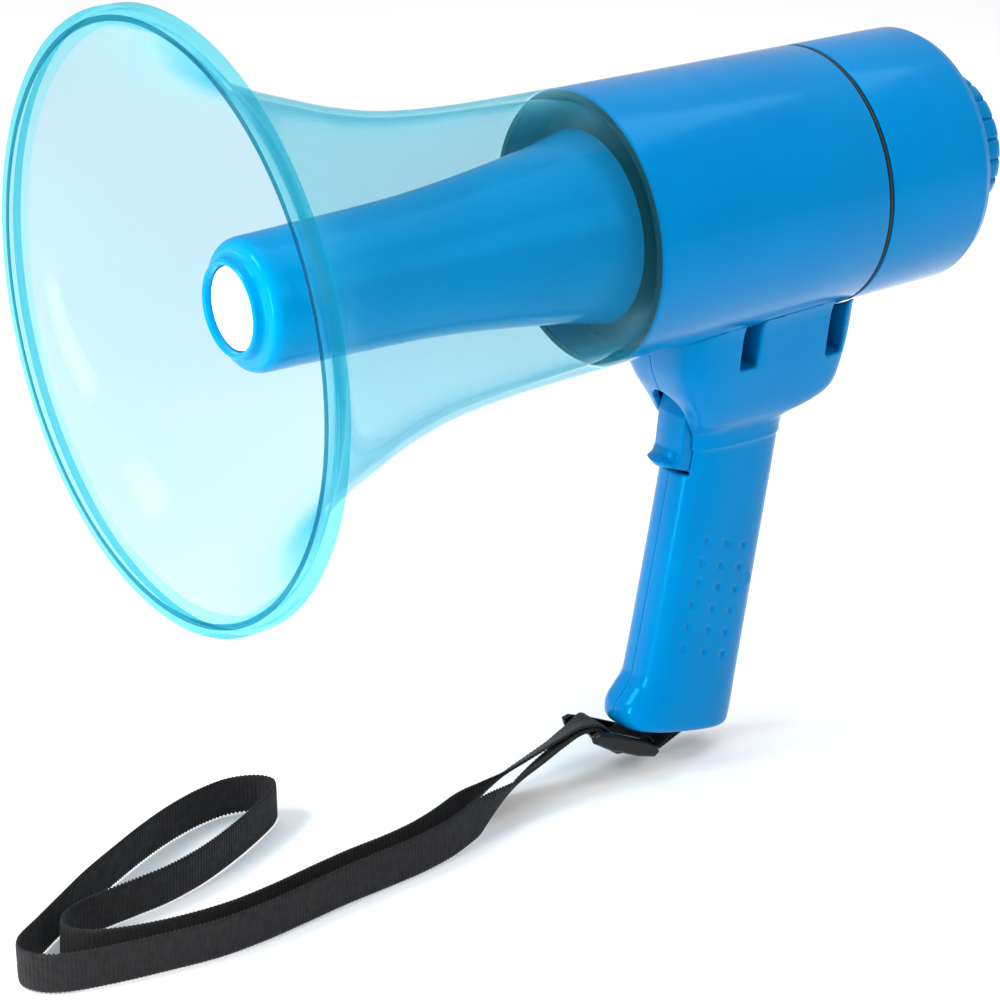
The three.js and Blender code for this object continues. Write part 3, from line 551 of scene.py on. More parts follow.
# ------------------------------------------------------------------- cord
# x, y, z of the strap's centre line and the turn of its width direction from
# flat (0) to standing on edge (90)
STRAP = [
    (0, 223.81, -193.27, 0),
    (0, 222.03, -193.65, 0),
    (0, 218.5, -194.65, 0),
    (0, 200.02, -206.27, 0),
    (0, 198, -202, 0),
    (0, 195.71, -199.91, 0),
    (0, 192, -199.6, 0),
    (0, 188.72, -200.5, 0),
    (0, 185.67, -201.34, 0),
    (0, 182.99, -201.16, 0),
    (0, 181.14, -199.23, 0),
    (0, 179.82, -196.35, 0),
    (0, 178.4, -193.26, 0),
    (0, 175.77, -190.62, 0),
    (0, 172.58, -190.22, -10),
    (-0.3, 166.4, -191.4, -26),
    (-1, 159, -194.6, -33),
    (-2.2, 151, -198.2, -35),
    (-3.2, 142.6, -201.6, -38),
    (-2.6, 132.6, -204.8, -49),
    (0.8, 122, -206.1, -66),
    (5.6, 111, -206.1, -84),
    (10.8, 100, -206.1, -90),
    (15.2, 87, -206.1, -90),
    (17.8, 73, -206.1, -90),
    (19.4, 57, -206.1, -90),
    (22.2, 40, -206.1, -90),
    (25.6, 22, -206.1, -90),
    (27.6, 4, -206.1, -90),
    (26.8, -14, -206.1, -90),
    (23.6, -31, -206.1, -90),
    (18.2, -44, -206.1, -90),
    (11.4, -49.2, -206.1, -90),
    (4.4, -47.6, -206.1, -90),
    (-0.8, -39.4, -206.1, -90),
    (-3.2, -27, -206.1, -90),
    (-4.6, -14, -206.1, -90),
    (-6.6, 0.6, -206.1, -90),
    (-11.6, 17.2, -206.1, -90),
    (-19.6, 34.6, -206.1, -90),
    (-28.6, 50.6, -206.1, -90),
    (-36, 61.4, -206.1, -90),
    (-41.6, 64.4, -206.1, -90),
    (-47.4, 60.6, -206.1, -90),
    (-50.8, 51, -206.1, -90),
    (-49.4, 38, -206.1, -90),
    (-44.6, 23, -206.1, -90),
    (-37.6, 7.6, -206.1, -90),
    (-28.6, -9, -206.1, -90),
    (-19.4, -25, -206.1, -90),
    (-8.4, -41.4, -206.1, -90),
    (0.6, -54.6, -206.1, -90),
    (8.2, -65.6, -206.1, -90),
    (15.2, -68.8, -206.1, -90),
    (22.6, -65.4, -206.1, -90),
    (27.6, -57, -206.1, -90),
    (31.4, -42, -206.1, -90),
    (34.2, -24, -206.1, -90),
    (36.3, -5, -206.1, -90),
    (35.2, 14, -206.1, -90),
    (32.4, 32, -206.1, -90),
    (29.4, 50, -206.1, -90),
    (27.4, 68, -206.1, -90),
    (25.2, 84, -206.1, -90),
    (21.4, 99, -206.1, -90),
    (15.4, 113, -206.1, -90),
    (10.4, 123.4, -206.1, -74),
    (6.4, 133, -205.2, -54),
    (3.2, 142.6, -202.6, -40),
    (1.6, 151, -199.8, -34),
    (0.8, 158.5, -196.9, -32),
    (0.3, 165.6, -193.8, -25),
    (0, 172.79, -191.95, -10),
    (0, 175.04, -192.19, 0),
    (0, 176.9, -194.12, 0),
    (0, 178.21, -197, 0),
    (0, 179.63, -200.1, 0),
    (0, 182.26, -202.73, 0),
    (0, 185.97, -203.05, 0),
    (0, 189.25, -202.15, 0),
    (0, 192.3, -201.31, 0),
    (0, 194.98, -201.49, 0),
    (0, 196.55, -202.96, 0),
    (0, 198.41, -206.94, 0),
    (0, 217.5, -199.55, 0),
    (0, 223.5, -199.15, 0),
    (0, 225.59, -198.29, 0),
    (0, 226.45, -196.2, 0),
    (0, 225.76, -194.3, 0),
    (0, 224.41, -193.39, 0),
]
STRAP_W, STRAP_T = 15.0, 1.4


def strap_mesh():
    P = np.array([p[:3] for p in STRAP], float)
    turn = np.array([p[3] for p in STRAP], float)
    # through the corners as a curve, then evenly spaced
    fine = smooth_curve(np.c_[P, turn], 24)
    seg = np.linalg.norm(np.diff(fine[:, :3], axis=0), axis=1)
    s = np.r_[0, np.cumsum(seg)]
    length = s[-1]
    pitch = 1.55
    per = 5
    n = int(length / pitch * per)
    q = np.linspace(0, length, n)
    at = np.stack([np.interp(q, s, fine[:, k]) for k in range(4)], 1)
    pos, tr = at[:, :3], np.radians(at[:, 3])
    t = np.gradient(pos, axis=0)
    t /= np.linalg.norm(t, axis=1)[:, None]
    want = np.stack([-np.cos(tr), np.zeros(n), np.sin(tr)], 1)
    want[tr <= -math.pi / 2 + 1e-3] = (0, 0, -1)
    want -= t * (want * t).sum(1)[:, None]
    wide = want / np.linalg.norm(want, axis=1)[:, None]
    nrm = np.cross(t, wide)
    # a slight roll and wave of the upper edge along the run on the surface
    lie = np.clip((-tr - 1.2) / 0.3, 0, 1)
    roll = lie * 0.05 * np.sin(q / 47.0 + 0.6)
    wide = wide + nrm * roll[:, None]
    wide /= np.linalg.norm(wide, axis=1)[:, None]
    nrm = np.cross(t, wide)
    m = 15  # points across one face
    u = np.linspace(-1, 1, m)
    ph = 2 * math.pi * q / pitch
    rings = []
    for side in (1, -1):
        for j, uu in enumerate(u if side > 0 else u[::-1]):
            col = (j if side > 0 else m - 1 - j) // 1
            rib = 0.5 + 0.5 * np.cos(ph + math.pi * (col % 2) * 0.55 + (0 if side > 0 else math.pi))
            edge = 1 - 0.35 * abs(uu) ** 12
            h = STRAP_T / 2 * edge - 0.27 * (1 - rib)
            w = uu * (STRAP_W / 2 - 0.25 + 0.25 * np.cos(ph)) if abs(uu) > 0.999 else uu * (STRAP_W / 2 - 0.1)
            w = np.broadcast_to(w, (n,))
            rings.append(pos + wide * w[:, None] + nrm * (side * h)[:, None])
    R = np.stack(rings, 1)  # n, 2m, 3
    k = R.shape[1]
    V = R.reshape(-1, 3)
    i = np.arange(n - 1)[:, None]
    j = np.arange(k)[None, :]
    j2 = (j + 1) % k
    Q = np.stack([i * k + j, i * k + j2, (i + 1) * k + j2, (i + 1) * k + j], -1).reshape(-1, 4)
    caps = []
    for base in (0, (n - 1) * k):
        for a in range(m - 1):
            f = [base + a, base + a + 1, base + 2 * m - 2 - a, base + 2 * m - 1 - a]
            caps.append(f if base else f[::-1])
    Q = np.concatenate([Q, np.array(caps)])
    o = make("strap_webbing", V, Q, WEBBING, None)
    return o, pos, length


strap, strap_pos, strap_len = strap_mesh()


# ----------------------------------------------------------------- buckle
PIN_C = (223.5, -196.2)
BK_C, BK_TILT, BAR_PITCH = (184.0, -199.0), math.radians(25), 11.0


def buckle_field(x, y, z):
    cb, sb = math.cos(BK_TILT), math.sin(BK_TILT)
    dy, dz = y - BK_C[0], z - BK_C[1]
    t = dy * cb - dz * sb
    n = dy * sb + dz * cb
    ax = np.abs(x)
    rail = poly(
        t,
        n,
        [
            (-17, 0.6),
            (-14.5, 2.6),
            (-6, 3.2),
            (8, 3.2),
            (15, 2.4),
            (17, 0.2),
            (15.5, -2.4),
            (8, -3.4),
            (-6, -3.4),
            (-14.5, -2.2),
        ],
    )
    side = smax(smax(rail, ax - 10.9, 2.2), 7.95 - ax, 0.5)
    d = side
    for c in (-BAR_PITCH, 0, BAR_PITCH):
        b = np.sqrt((t - c) ** 2 + n**2) - 1.3
        b = np.maximum(b, ax - 9.5)
        d = smin(d, b, 0.7)
    return d


buckle = field_mesh(
    "buckle", buckle_field, (-11.6, 165, -209.5), (11.6, 203, -189), 0.24, BLACK_GLOSS
)
dress(buckle, "megaphone", "gloss_black", "strap_buckle")
dress(strap, "megaphone", "webbing", "wrist_strap")
path_m = [tuple(map(float, row(p))) for p in strap_pos[:: max(1, len(strap_pos) // 160)]]
path_m.append(tuple(map(float, row(strap_pos[-1]))))
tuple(path_m[0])

# ------------------------------------------------------------------- horn
bell_mid = smooth_curve(
    [
        (97.6, 6.6),
        (90.6, 12),
        (82.8, 20),
        (76.2, 30),
        (70.4, 42),
        (65.0, 56),
        (58.7, 74),
        (53.4, 96),
        (50.4, 125),
        (49.0, 167),
    ],
    7,
)
bell_out = [tuple(p) for p in bell_mid]
bell_in = [(r - 2.2, y - 0.35) for r, y in bell_mid[:-7]][::-1]
bell_profile = fillet(
    [
        (104.0, 0.0, 0.7),
        (104.0, 6.6, 0.5),
        (102.2, 6.6, 0.5),
        (101.8, 2.9, 1.2),
        (99.9, 3.9, 1.0),
        *[(r, y, 0.0) for r, y in bell_out],
        (45.6, 167.0, 0.3),
        (45.6, 180.0, 0.3),
        (43.6, 180.0, 0.3),
        (43.6, 172.0, 1.0),
        (46.2, 160.0, 1.0),
        *[(r, y, 0.0) for r, y in bell_in],
        (98.7, 0.15, 0.5),
        (99.5, 0.15, 0.2),
        (99.9, 0.55, 0.2),
        (100.6, 0.55, 0.2),
        (101.0, 0.0, 0.2),
    ],
    0.4,
)
bell = revolve("bell", bell_profile, CLEAR, 256, sharp=50)


def zone(o, material, pick):
    """Another finish on the faces whose centre, as radius and y, pick chooses."""
    me = o.data
    n = len(me.polygons)
    c = np.empty(n * 3, np.float32)
    me.polygons.foreach_get("center", c)
    c = c.reshape(-1, 3) * 1000 + ORIGIN
    slots = np.empty(n, np.int32)
    me.polygons.foreach_get("material_index", slots)
    slots[pick(np.hypot(c[:, 0], c[:, 2]), c[:, 1])] = len(me.materials)
    me.materials.append(material)
    me.polygons.foreach_set("material_index", slots)
    me.update()


zone(bell, CLEAR_RIM, lambda r, y: r > 98.6)
# the narrow lip band at the mouth gets the painted dark edge line
zone(bell, CLEAR_EDGE_SHADE, lambda r, y: (r > 98.9) & (r < 100.9) & (y < 0.75))
dress(bell, "megaphone", "clear_horn", "horn_bell")

gasket = revolve(
    "neck_ring", fillet([(45.9, 167.25), (48.2, 167.25), (48.2, 168.35), (45.9, 168.35)], 0.3), RUBBER, 160
)
dress(gasket, "megaphone", "rubber", "neck_gasket")

nose_out = smooth_curve(
    [
        (16.9, 28.1),
        (17.3, 29.5),
        (18.2, 30.2),
        (19.6, 30.4),
        (21.4, 31.4),
        (22.6, 33.6),
        (22.95, 37.0),
        (23.0, 42),
        (23.3, 55),
        (24.4, 95),
        (27.0, 125),
        (31.1, 155),
        (34.2, 170.4),
    ],
    8,
)
cone_profile = fillet(
    [
        (0, 30.2),
        (14.55, 30.2, 0.2),
        (14.7, 26.9, 0.5),
        (15.9, 26.1, 0.8),
        (16.8, 27.1, 0.6),
        *[(r, y, 0) for r, y in nose_out],
        (32.5, 170.4, 0.4),
        (29.3, 155, 0),
        (25.2, 125, 0),
        (22.6, 95, 0),
        (21.5, 55, 0),
        (21.1, 38.5, 2),
        (19.0, 34.0, 2),
        (0, 33.0),
    ],
    0.4,
)
# the cone wears the painted-light copy of the shell's blue
cone = revolve("inner_cone", cone_profile, BLUE_REFLECTOR_LIT, 200, sharp=50)
dress(cone, "megaphone", "blue_plastic", "reflector_cone")
disc = revolve(
    "blank_disc", fillet([(0, 28.7), (14.2, 28.7, 0.35), (14.2, 29.9, 0.2), (0, 29.9)]), WHITE, 160
)
dress(disc, "megaphone", "white_plate", "nose_disc")

# ------------------------------------------------------------------- body
def body_r(y):
    return 48.8 + (46.9 - 48.8) * (y - 167.4) / (268.2 - 167.4)


shell = revolve(
    "body_tube",
    fillet(
        [
            (48.1, 167.4, 0.4),
            (48.8, 168.3, 0.5),
            (body_r(200), 200, 0),
            (body_r(235), 235, 0),
            (46.9, 268.2, 0.5),
            (44.2, 268.2, 0.3),
            (44.2, 187, 0.3),
            (43.2, 187, 0.2),
            (43.2, 184.5, 0.2),
            (45.9, 184.5, 0.2),
            (45.9, 168.6, 0.2),
            (48.3, 168.6, 0.1),
        ]
    ),
    BLUE,
    220,
)
dress(shell, "megaphone", "blue_plastic", "body_shell")

o_ring = revolve(
    "seal_band",
    [
        (45.4 + 1.35 * math.cos(a), 269.3 + 0.78 * math.sin(a))
        for a in np.linspace(0, 2 * math.pi, 28, endpoint=False)
    ],
    RUBBER,
    200,
    sharp=60,
)
dress(o_ring, "cover_seal", "rubber", "seal_ring")

SCREW_AT = [(36.4 * math.cos(math.radians(a)), 36.4 * math.sin(math.radians(a))) for a in (30, 150, 270)]
cover = revolve(
    "rear_housing",
    fillet(
        [
            (41.4, 262.4, 0.4),
            (43.6, 262.4, 0.4),
            (43.6, 270.4, 0.2),
            (46.8, 270.4, 0.5),
            (46.3, 306, 0),
            (46.1, 313.4, 1.0),
            (44.6, 316.5, 0.9),
            (43.4, 317.0, 0.6),
            (32.5, 317.0, 0.2),
            (32.1, 316.5, 0.2),
            (30.5, 316.5, 0.2),
            (30.1, 317.0, 0.2),
            (17.4, 317, 0.4),
            (17.4, 314.2, 0.3),
            (41.6, 314.2, 1),
            (43.6, 312, 1),
            (43.9, 279, 0.5),
            (41.4, 276, 0.5),
        ]
    ),
    BLUE,
    220,
)
dress(cover, "rear_module", "blue_plastic", "rear_cover")


def flutes(th, r, y):
    """Narrow hollows between 21 broad pads, fading at the two ends of the rim."""
    if r < 24.9:
        return np.full(th.shape, r)
    c = np.abs(((th * 21 / (2 * math.pi)) % 1.0) - 0.5) * 2  # 0 at mid pad, 1 at groove
    g = np.exp(-(((1 - c) / 0.17) ** 2))
    crown = 0.12 * c**2
    fade = np.clip((y - 317.6) / 1.2, 0, 1) * np.clip((338.4 - y) / 1.4, 0.25, 1)
    return r - (1.25 * g + crown) * fade


dial = revolve(
    "dial",
    fillet(
        [
            (13.2, 308, 0.3),
            (17.0, 308, 0.3),
            (17.0, 317.4, 0.2),
            (19.0, 317.4, 0.2),
            (19.0, 334, 0.6),
            (24.0, 334, 0.6),
            (24.0, 317.4, 0.3),
            (25.4, 317.4, 0.4),
            (26.6, 318.6, 0.5),
            (26.6, 324, 0),
            (26.6, 330, 0),
            (26.6, 335.5, 0.6),
            (25.9, 337.6, 0.8),
            (24.2, 338.5, 0.8),
            (19.0, 338.5, 0.7),
            (17.2, 337.2, 0.5),
            (17.2, 331.4, 0.2),
            (13.2, 331.4, 0.3),
        ]
    ),
    BLUE_DIAL,
    21 * 18,
    sharp=38,
    radial=flutes,
)
dress(dial, "volume_dial", "blue_plastic", "volume_dial")


GRILLE_HOLES = [(0.0, 0.0)] + [
    (R * math.cos(2 * math.pi * (k + 0.5 * (q % 2)) / n), R * math.sin(2 * math.pi * (k + 0.5 * (q % 2)) / n))
    for q, (R, n) in enumerate([(3.4, 6), (6.8, 12), (10.2, 18), (13.3, 24)])
    for k in range(n)
]


def grille_field(x, y, z):
    r = np.sqrt(x * x + z * z)
    top = 337.25 - 1.1 * (r / 16.8) ** 2
    d = smax(np.maximum(y - top, 335.1 - y), r - 16.8, 0.4)
    hole = np.full(x.shape, 99.0)
    for hx, hz in GRILLE_HOLES:
        hole = np.minimum(hole, np.sqrt((x - hx) ** 2 + (z - hz) ** 2) - 0.78)
    return smax(d, -hole, 0.25)


grille = field_mesh("microphone_grille", grille_field, (-17.3, 334.7, -17.3), (17.3, 337.8, 17.3), 0.26, BLACK)
dress(grille, "rear_module", "black_plastic", "mic_grille")

# ----------------------------------------------------------------- handle
TILT = math.radians(11)
GRIP = smooth_curve(
    [
        (-22, -14, 22, 12.6, 2.8),
        (-8, -16.5, 24.4, 13.2, 2.8),
        (12, -17.6, 25.0, 13.6, 2.8),
        (30, -17.6, 25.2, 13.7, 2.8),
        (60, -17.8, 25.6, 13.6, 2.8),
        (92, -18.2, 26.0, 13.6, 2.8),
        (99, -18.9, 26.1, 13.7, 2.8),
        (103.5, -21.2, 26.2, 14.0, 2.8),
        (108, -23.6, 26.3, 14.2, 2.8),
        (112.5, -23.6, 26.2, 14.2, 2.8),
        (118, -21.6, 25.8, 14.0, 2.8),
    ],
    6,
)
SADDLE = smooth_curve(
    [
        (-24, 199.5, 268.0, 39.8, 5),
        (-30, 199.2, 271.6, 34.6, 8),
        (-36, 199.2, 273.4, 29.6, 10),
        (-42, 199.2, 274.0, 26.4, 10),
        (-50, 199.4, 274.0, 24.8, 10),
        (-58, 200.4, 273.6, 23.6, 9),
        (-66, 203.2, 272.8, 22.0, 8),
        (-72, 206.6, 271.6, 20.6, 7.5),
        (-76, 208.8, 269.6, 19.2, 6.5),
        (-79.5, 210.2, 265.4, 17.4, 5),
        (-82, 210.8, 260.0, 15.6, 4),
        (-84.5, 211.2, 255.0, 14.0, 3),
        (-88, 211.6, 252.5, 13.0, 2.8),
    ],
    6,
)[::-1]
BOSSES = [(246.0, -70.0)]
for s_, t_ in ((58, 16), (92, -4)):
    BOSSES.append(
        (
            230 - s_ * math.sin(TILT) + t_ * math.cos(TILT),
            -85 - s_ * math.cos(TILT) - t_ * math.sin(TILT),
        )
    )
SLOTS = [(221.8, 229.8, -57.4), (261.0, 269.0, -60.4)]
TRIGGER_CUT = [(185, -68.6), (219, -68.6), (226.5, -72), (226.5, -100), (185, -100)]
STRAP_CUT = [(203, -225), (230.2, -225), (230.2, -195), (227, -190.4), (217, -190.4), (203, -196)]
TRIGGER_PIVOT = (217.5, -72.5)
DIMPLES = [
    (217.4, -125.1), (226.2, -128.0), (233.9, -130.8),
    (215.3, -133.0), (223.7, -136.1), (232.0, -139.0),
    (214.2, -140.8), (222.5, -144.6), (230.4, -147.6),
    (211.6, -149.1), (220.2, -152.7), (228.3, -155.3),
    (210.0, -157.2), (218.6, -160.7), (226.3, -163.7),
    (207.9, -165.4), (216.7, -169.0), (225.1, -172.1),
]
# outline of the hollowed side face of the grip, in s along and t across it
PANEL = [(-11, -8.5), (-9, -11.0), (14, -11.5), (20, -11.8), (60, -11.6), (94, -11.0), (98.5, -9.5), (99.5, -7), (99.5, 17), (97, 19.5), (60, 19.5), (14, 19.5), (-4, 18), (-10, 12)]


def outer_field(x, y, z):
    dy, dz = y - 230, z + 85
    s = -dy * math.sin(TILT) - dz * math.cos(TILT)
    t = dy * math.cos(TILT) - dz * math.sin(TILT)
    f, r, w, n = (np.interp(s, GRIP[:, 0], GRIP[:, k]) for k in (1, 2, 3, 4))
    grip = superell(x, t - (f + r) / 2, w, (r - f) / 2, n)
    grip = smax(grip, s - 116.6, 3.4)
    grip = np.maximum(grip, -24 - s)
    f, r, w, n = (np.interp(z, SADDLE[:, 0], SADDLE[:, k]) for k in (1, 2, 3, 4))
    n = np.where(y < (f + r) / 2, np.minimum(n, 5), n)
    sad = superell(x, y - (f + r) / 2, w, (r - f) / 2, n) * 0.85
    sad = np.maximum(sad, -89 - z)
    # hollowed side face
    pan = poly(s, t, PANEL)
    deep = 0.55 / (1 + np.exp(np.clip(pan / 0.42, -30, 30))) * np.clip((96 - s) / 22, 0, 1) * np.clip((20 - t) / 14, 0, 1) * np.clip((s + 6) / 18, 0, 1)
    grip = grip + deep * np.clip((np.abs(x) - 8) / 3, 0, 1)
    return smin(grip, sad, 4.0), s, t


def handle_field(side):
    def field(x, y, z):
        out, s, t = outer_field(x, y, z)
        ax = np.abs(x)
        rc = np.sqrt(x * x + z * z)
        tube = rc - (body_r(np.minimum(y, 268.2)) - 0.15 + 0.55 * np.clip((y - 267.2) / 1.0, 0, 1))
        d = smax(out, -tube, 0.1)
        # finger dimples
        dm = np.full(x.shape, 99.0)
        for dyy, dzz in DIMPLES:
            dm = np.minimum(dm, (y - dyy) ** 2 + (z - dzz) ** 2)
        d = d + 0.95 * np.exp(-dm / 1.5) * (ax > 9)
        # hollow inside
        hollow = np.maximum(out + 2.6, 2.7 - tube)
        hollow = np.maximum(hollow, s - 100)
        boss = np.full(x.shape, 99.0)
        hole = np.full(x.shape, 99.0)
        for by, bz in BOSSES:
            rb = np.sqrt((y - by) ** 2 + (z - bz) ** 2)
            boss = np.minimum(boss, np.maximum(rb - 3.8, ax - 12))
            hole = np.minimum(hole, np.maximum(rb - 1.6, ax - 10.6))
            hole = np.minimum(hole, np.maximum(rb - 3.0, x + 9.9))
        wall = np.full(x.shape, 99.0)
        for y0, y1, z0 in SLOTS:
            wall = np.minimum(wall, np.maximum(np.abs(y - (y0 + y1) / 2) - (y1 - y0) / 2 - 1.7, z0 - 1.7 - z))
        hollow = np.maximum(hollow, -wall)
        d = smax(d, -hollow, 0.4)
        d = smin(d, boss, 0.3)
        # openings
        arch = 0.75 * (8.3 - np.sqrt(np.clip(8.3**2 - x * x, 0, None)))
        trig = smax(poly(y, z, TRIGGER_CUT), ax - 8.2, 0.5)
        trig = np.maximum(trig, z + 68.6 + arch * (y < 214))
        d = smax(d, -trig, 0.7)
        d = smax(d, -np.maximum(poly(y, z, STRAP_CUT), ax - 8.1), 0.6)
        for y0, y1, z0 in SLOTS:
            ym, hw = (y0 + y1) / 2, (y1 - y0) / 2
            sl = smax(np.abs(y - ym) - hw, z0 - z, 1.6)
            d = smax(d, -sl, 0.9)
        pin = np.maximum(np.sqrt((y - PIN_C[0]) ** 2 + (z - PIN_C[1]) ** 2) - 2.15, ax - 11)
        piv = np.maximum(np.sqrt((y - TRIGGER_PIVOT[0]) ** 2 + (z - TRIGGER_PIVOT[1]) ** 2) - 1.75, ax - 12)
        wire = np.maximum(np.sqrt(x * x + (y - 226) ** 2) - 3.6, np.abs(z + 50) - 6)
        d = np.maximum(d, -np.minimum(np.minimum(pin, piv), np.minimum(wire, hole)))
        for sy in (205, 244):
            d = np.maximum(d, -np.maximum(np.sqrt(x * x + (y - sy) ** 2) - 1.7, np.abs(z + 50) - 6))
        return smax(d, 0.01 - side * x, 0.07)

    return field


for side, name, node in ((1, "grip_right", "handle_shell_right"), (-1, "grip_left", "handle_shell_left")):
    lo = (-1.0, 184, -206) if side > 0 else (-41.5, 184, -206)
    hi = (41.5, 277, -22) if side > 0 else (1.0, 277, -22)
    g = field_mesh(name, handle_field(side), lo, hi, 0.5, BLUE)
    dress(g, "megaphone", "blue_plastic", node)

# ---------------------------------------------------------------- trigger
TRIGGER = [
    (214.6, -69.4), (211.2, -72.4), (208.7, -77.6), (207.5, -84.6), (206.6, -90.6),
    (205.2, -92.6), (203.2, -93.6), (202.0, -95.0), (203.2, -96.8), (208.6, -98.8),
    (213.2, -99.3), (213.2, -76), (218.9, -76), (221, -73), (220, -70.2), (218, -69.4),
]


def trigger_field(x, y, z):
    ax = np.abs(x)
    d = poly(y, z, TRIGGER)
    # the front is crowned across its width and arched at the top
    crown = 0.045 * x * x * np.clip((213 - y) / 6, 0, 1)
    d = smax(d + crown * 0.8, ax - 7.95, 1.2)
    skirt = smax(poly(y, z, [(213.0, -75), (217.5, -76), (217.5, -99.2), (212.0, -98.9)]), np.abs(ax - 7.05) - 0.9, 0.3)
    d = smin(d, skirt, 0.3)
    arch = 0.75 * (8.3 - np.sqrt(np.clip(8.3**2 - x * x, 0, None))) * np.clip((216 - y) / 3, 0, 1)
    d = smax(d, z + 69.3 + arch, 1.2)
    hole = np.sqrt((y - TRIGGER_PIVOT[0]) ** 2 + (z - TRIGGER_PIVOT[1]) ** 2) - 1.6
    return np.maximum(d, -hole)


lever = field_mesh("trigger_lever", trigger_field, (-8.6, 200.5, -99.5), (8.6, 222.5, -68), 0.3, BLUE)
dress(lever, "trigger", "blue_plastic", "trigger")


def coil_spring(name, radius, wire, y0, y1, turns, z, material, around=10, per=40):
    """A compression spring along Y with closed end turns."""
    n = int(turns * per)
    q = np.linspace(0, 1, n + 1)
    pitch = np.clip(np.minimum(q, 1 - q) * turns, 0.28, 1)
    f = np.r_[0, np.cumsum((pitch[1:] + pitch[:-1]) / 2)]
    f /= f[-1]
    a = 2 * math.pi * turns * q
    P = np.stack([radius * np.cos(a), y0 + wire + (y1 - y0 - 2 * wire) * f, z + radius * np.sin(a)], 1)
    t = np.gradient(P, axis=0)
    t /= np.linalg.norm(t, axis=1)[:, None]
    out = np.stack([np.cos(a), np.zeros(n + 1), np.sin(a)], 1)
    side = np.cross(t, out)
    b = np.linspace(0, 2 * math.pi, around, endpoint=False)
    R = P[:, None] + wire * (out[:, None] * np.cos(b)[None, :, None] + side[:, None] * np.sin(b)[None, :, None])
    faces = [
        [i * around + j, i * around + (j + 1) % around, (i + 1) * around + (j + 1) % around, (i + 1) * around + j]
        for i in range(n)
        for j in range(around)
    ]
    faces.append(list(range(around))[::-1])
    faces.append([n * around + j for j in range(around)])
    V = R.reshape(-1, 3)
    vol = 0.0
    for fa in faces:
        for k in range(1, len(fa) - 1):
            vol += np.dot(V[fa[0]], np.cross(V[fa[k]], V[fa[k + 1]]))
    if vol < 0:
        faces = [fa[::-1] for fa in faces]
    return make(name, V, faces, material, 50)


spring = coil_spring("return_spring", 2.3, 0.35, 213.65, 223.75, 4.5, -92, STEEL)
dress(spring, "megaphone", "steel", "trigger_spring")
tuple(map(float, row((0, 223.75, -92))))
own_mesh(spring)


# ----------------------------------------------------------------- screws
def screw_field(x, y, z):
    """A self-tapping screw along X with a cross recess, its head at x = -12."""
    r = np.sqrt(y * y + z * z)
    thread = 1.18 + 0.14 * np.cos(2 * math.pi * (x / 1.1) - np.arctan2(z, y))
    shank = np.maximum(r - thread, np.maximum(-11.5 - x, x - 10.0 + 0.9 * r))
    head = smax(r - 2.6, np.maximum(x + 10.2, -12.0 + 0.12 * r * r - x), 0.3)
    slot = np.maximum(
        np.minimum(np.maximum(np.abs(y) - 0.36, np.abs(z) - 1.5), np.maximum(np.abs(z) - 0.36, np.abs(y) - 1.5)),
        x + 11.0,
    )
    return smax(np.minimum(shank, head), -slot, 0.12)


for k, (by, bz) in enumerate(BOSSES):
    f = lambda x, y, z, by=by, bz=bz: screw_field(x, y - by, z - bz)
    o = field_mesh(f"grip_screw_{k + 1}", f, (-12.4, by - 3, bz - 3), (10.6, by + 3, bz + 3), 0.2, STEEL, coarse=2)
    dress(o, "megaphone", "steel", f"handle_screw_{k + 1}")

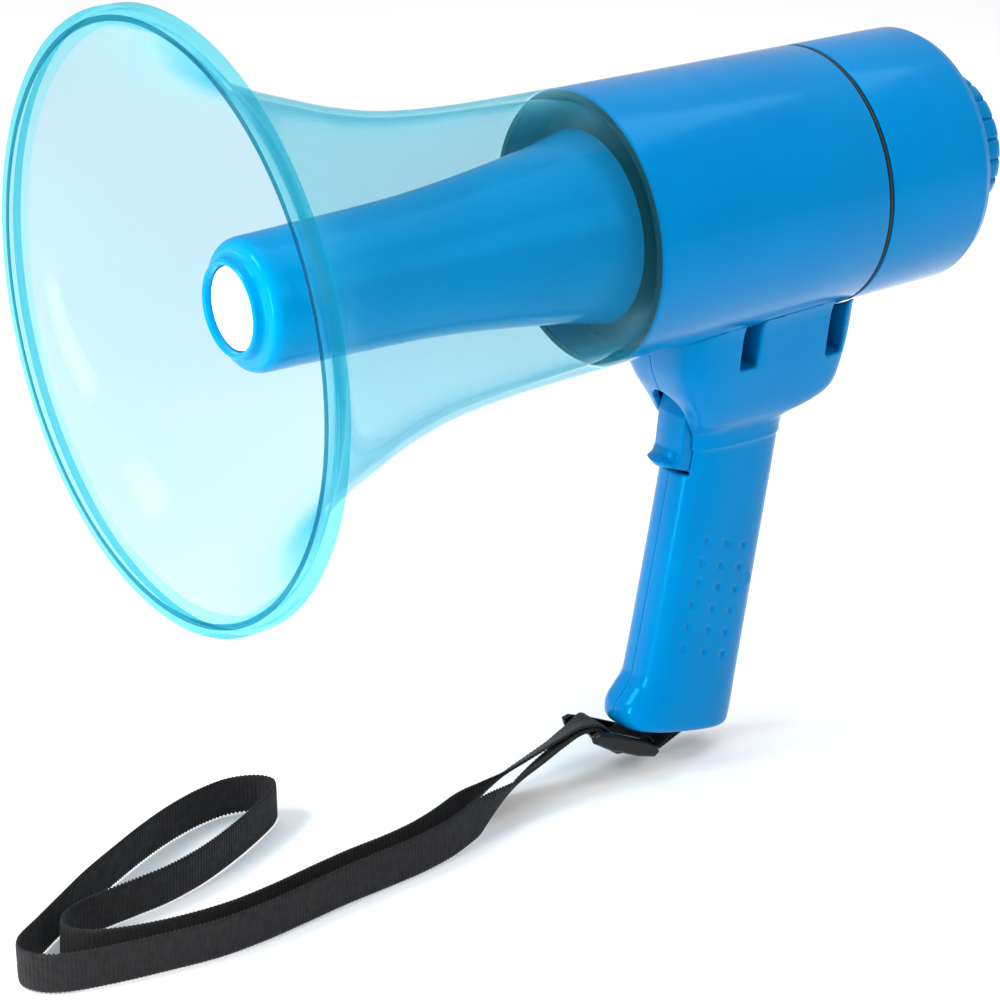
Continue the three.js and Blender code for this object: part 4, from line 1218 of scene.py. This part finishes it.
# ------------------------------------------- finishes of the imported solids
FINISH = {
    "sound_tube": THROAT,
    "reflector_rib_1": THROAT,
    "reflector_rib_2": THROAT,
    "reflector_rib_3": THROAT,
    "throat_baffle": THROAT,
    "driver_gasket": RUBBER,
    "driver_diaphragm": PHENOLIC,
    "driver_frame": STEEL,
    "voice_coil": BRASS,
    "driver_magnet": FERRITE,
    "driver_yoke": STEEL,
    "battery_holder": BLACK,
    "rear_contact_plate": BLACK,
    "amplifier_board": BOARD,
    "heat_sink": ALUMINIUM,
    "mic_holder": BLACK,
    "mic_capsule": ALUMINIUM,
    "mic_boot": RUBBER,
    "trigger_pin": STEEL,
    "trigger_switch": BLACK,
    "strap_pin": STEEL,
}
for n in frame["nodes"]:
    if n.startswith("cell_"):
        FINISH[n] = CELL
    elif n.startswith(("driver_screw", "module_screw", "saddle_screw", "front_contact", "rear_contact_")) and n not in FINISH:
        FINISH[n] = STEEL
for n, material in FINISH.items():
    o = frame["nodes"][n]
    o = o if hasattr(o, "material_slots") else bpy.data.objects[n]
    if not o.material_slots:
        o.data.materials.append(material)
    for sl in o.material_slots:
        sl.material = material

# ------------------------------------------------------- floor and lights
fm = Mat("pale_floor", Roughness=0.6)
fm.colour(fm.noise(3, 2), (0.93, 0.93, 0.93, 1), (0.95, 0.95, 0.95, 1))
bpy.ops.mesh.primitive_plane_add(size=8, location=(0, 0, -0.0742))
floor = bpy.context.object
floor.name = "floor"
floor.data.materials.append(fm.m)


def area(name, loc, target, w, h, power, col=(1, 1, 1)):
    l = bpy.data.lights.new(name, "AREA")
    l.shape, l.size, l.size_y, l.energy, l.color = "RECTANGLE", w, h, power, col
    o = bpy.data.objects.new(name, l)
    bpy.context.scene.collection.objects.link(o)
    o.location = loc
    d = Vector(loc) - Vector(target)
    o.rotation_euler = d.to_track_quat("Z", "Y").to_euler()
    return o


world = bpy.data.worlds.new("studio")
bpy.context.scene.world = world
world.use_nodes = True
bg = world.node_tree.nodes["Background"]
bg.inputs["Color"].default_value = (1, 1, 1, 1)
bg.inputs["Strength"].default_value = 0.56
area("key", (-0.35, -1.15, 1.05), (0, -0.05, 0.06), 0.5, 0.4, 14)
area("side", (1.35, 0.25, 0.95), (0, 0, 0.05), 0.8, 0.8, 9.5)
area("strip", (0.22, -1.15, 0.21), (0, -0.02, -0.0), 0.18, 0.54, 11)
area("top", (0.1, 0.1, 1.5), (0, -0.05, 0.05), 1.6, 1.4, 14)
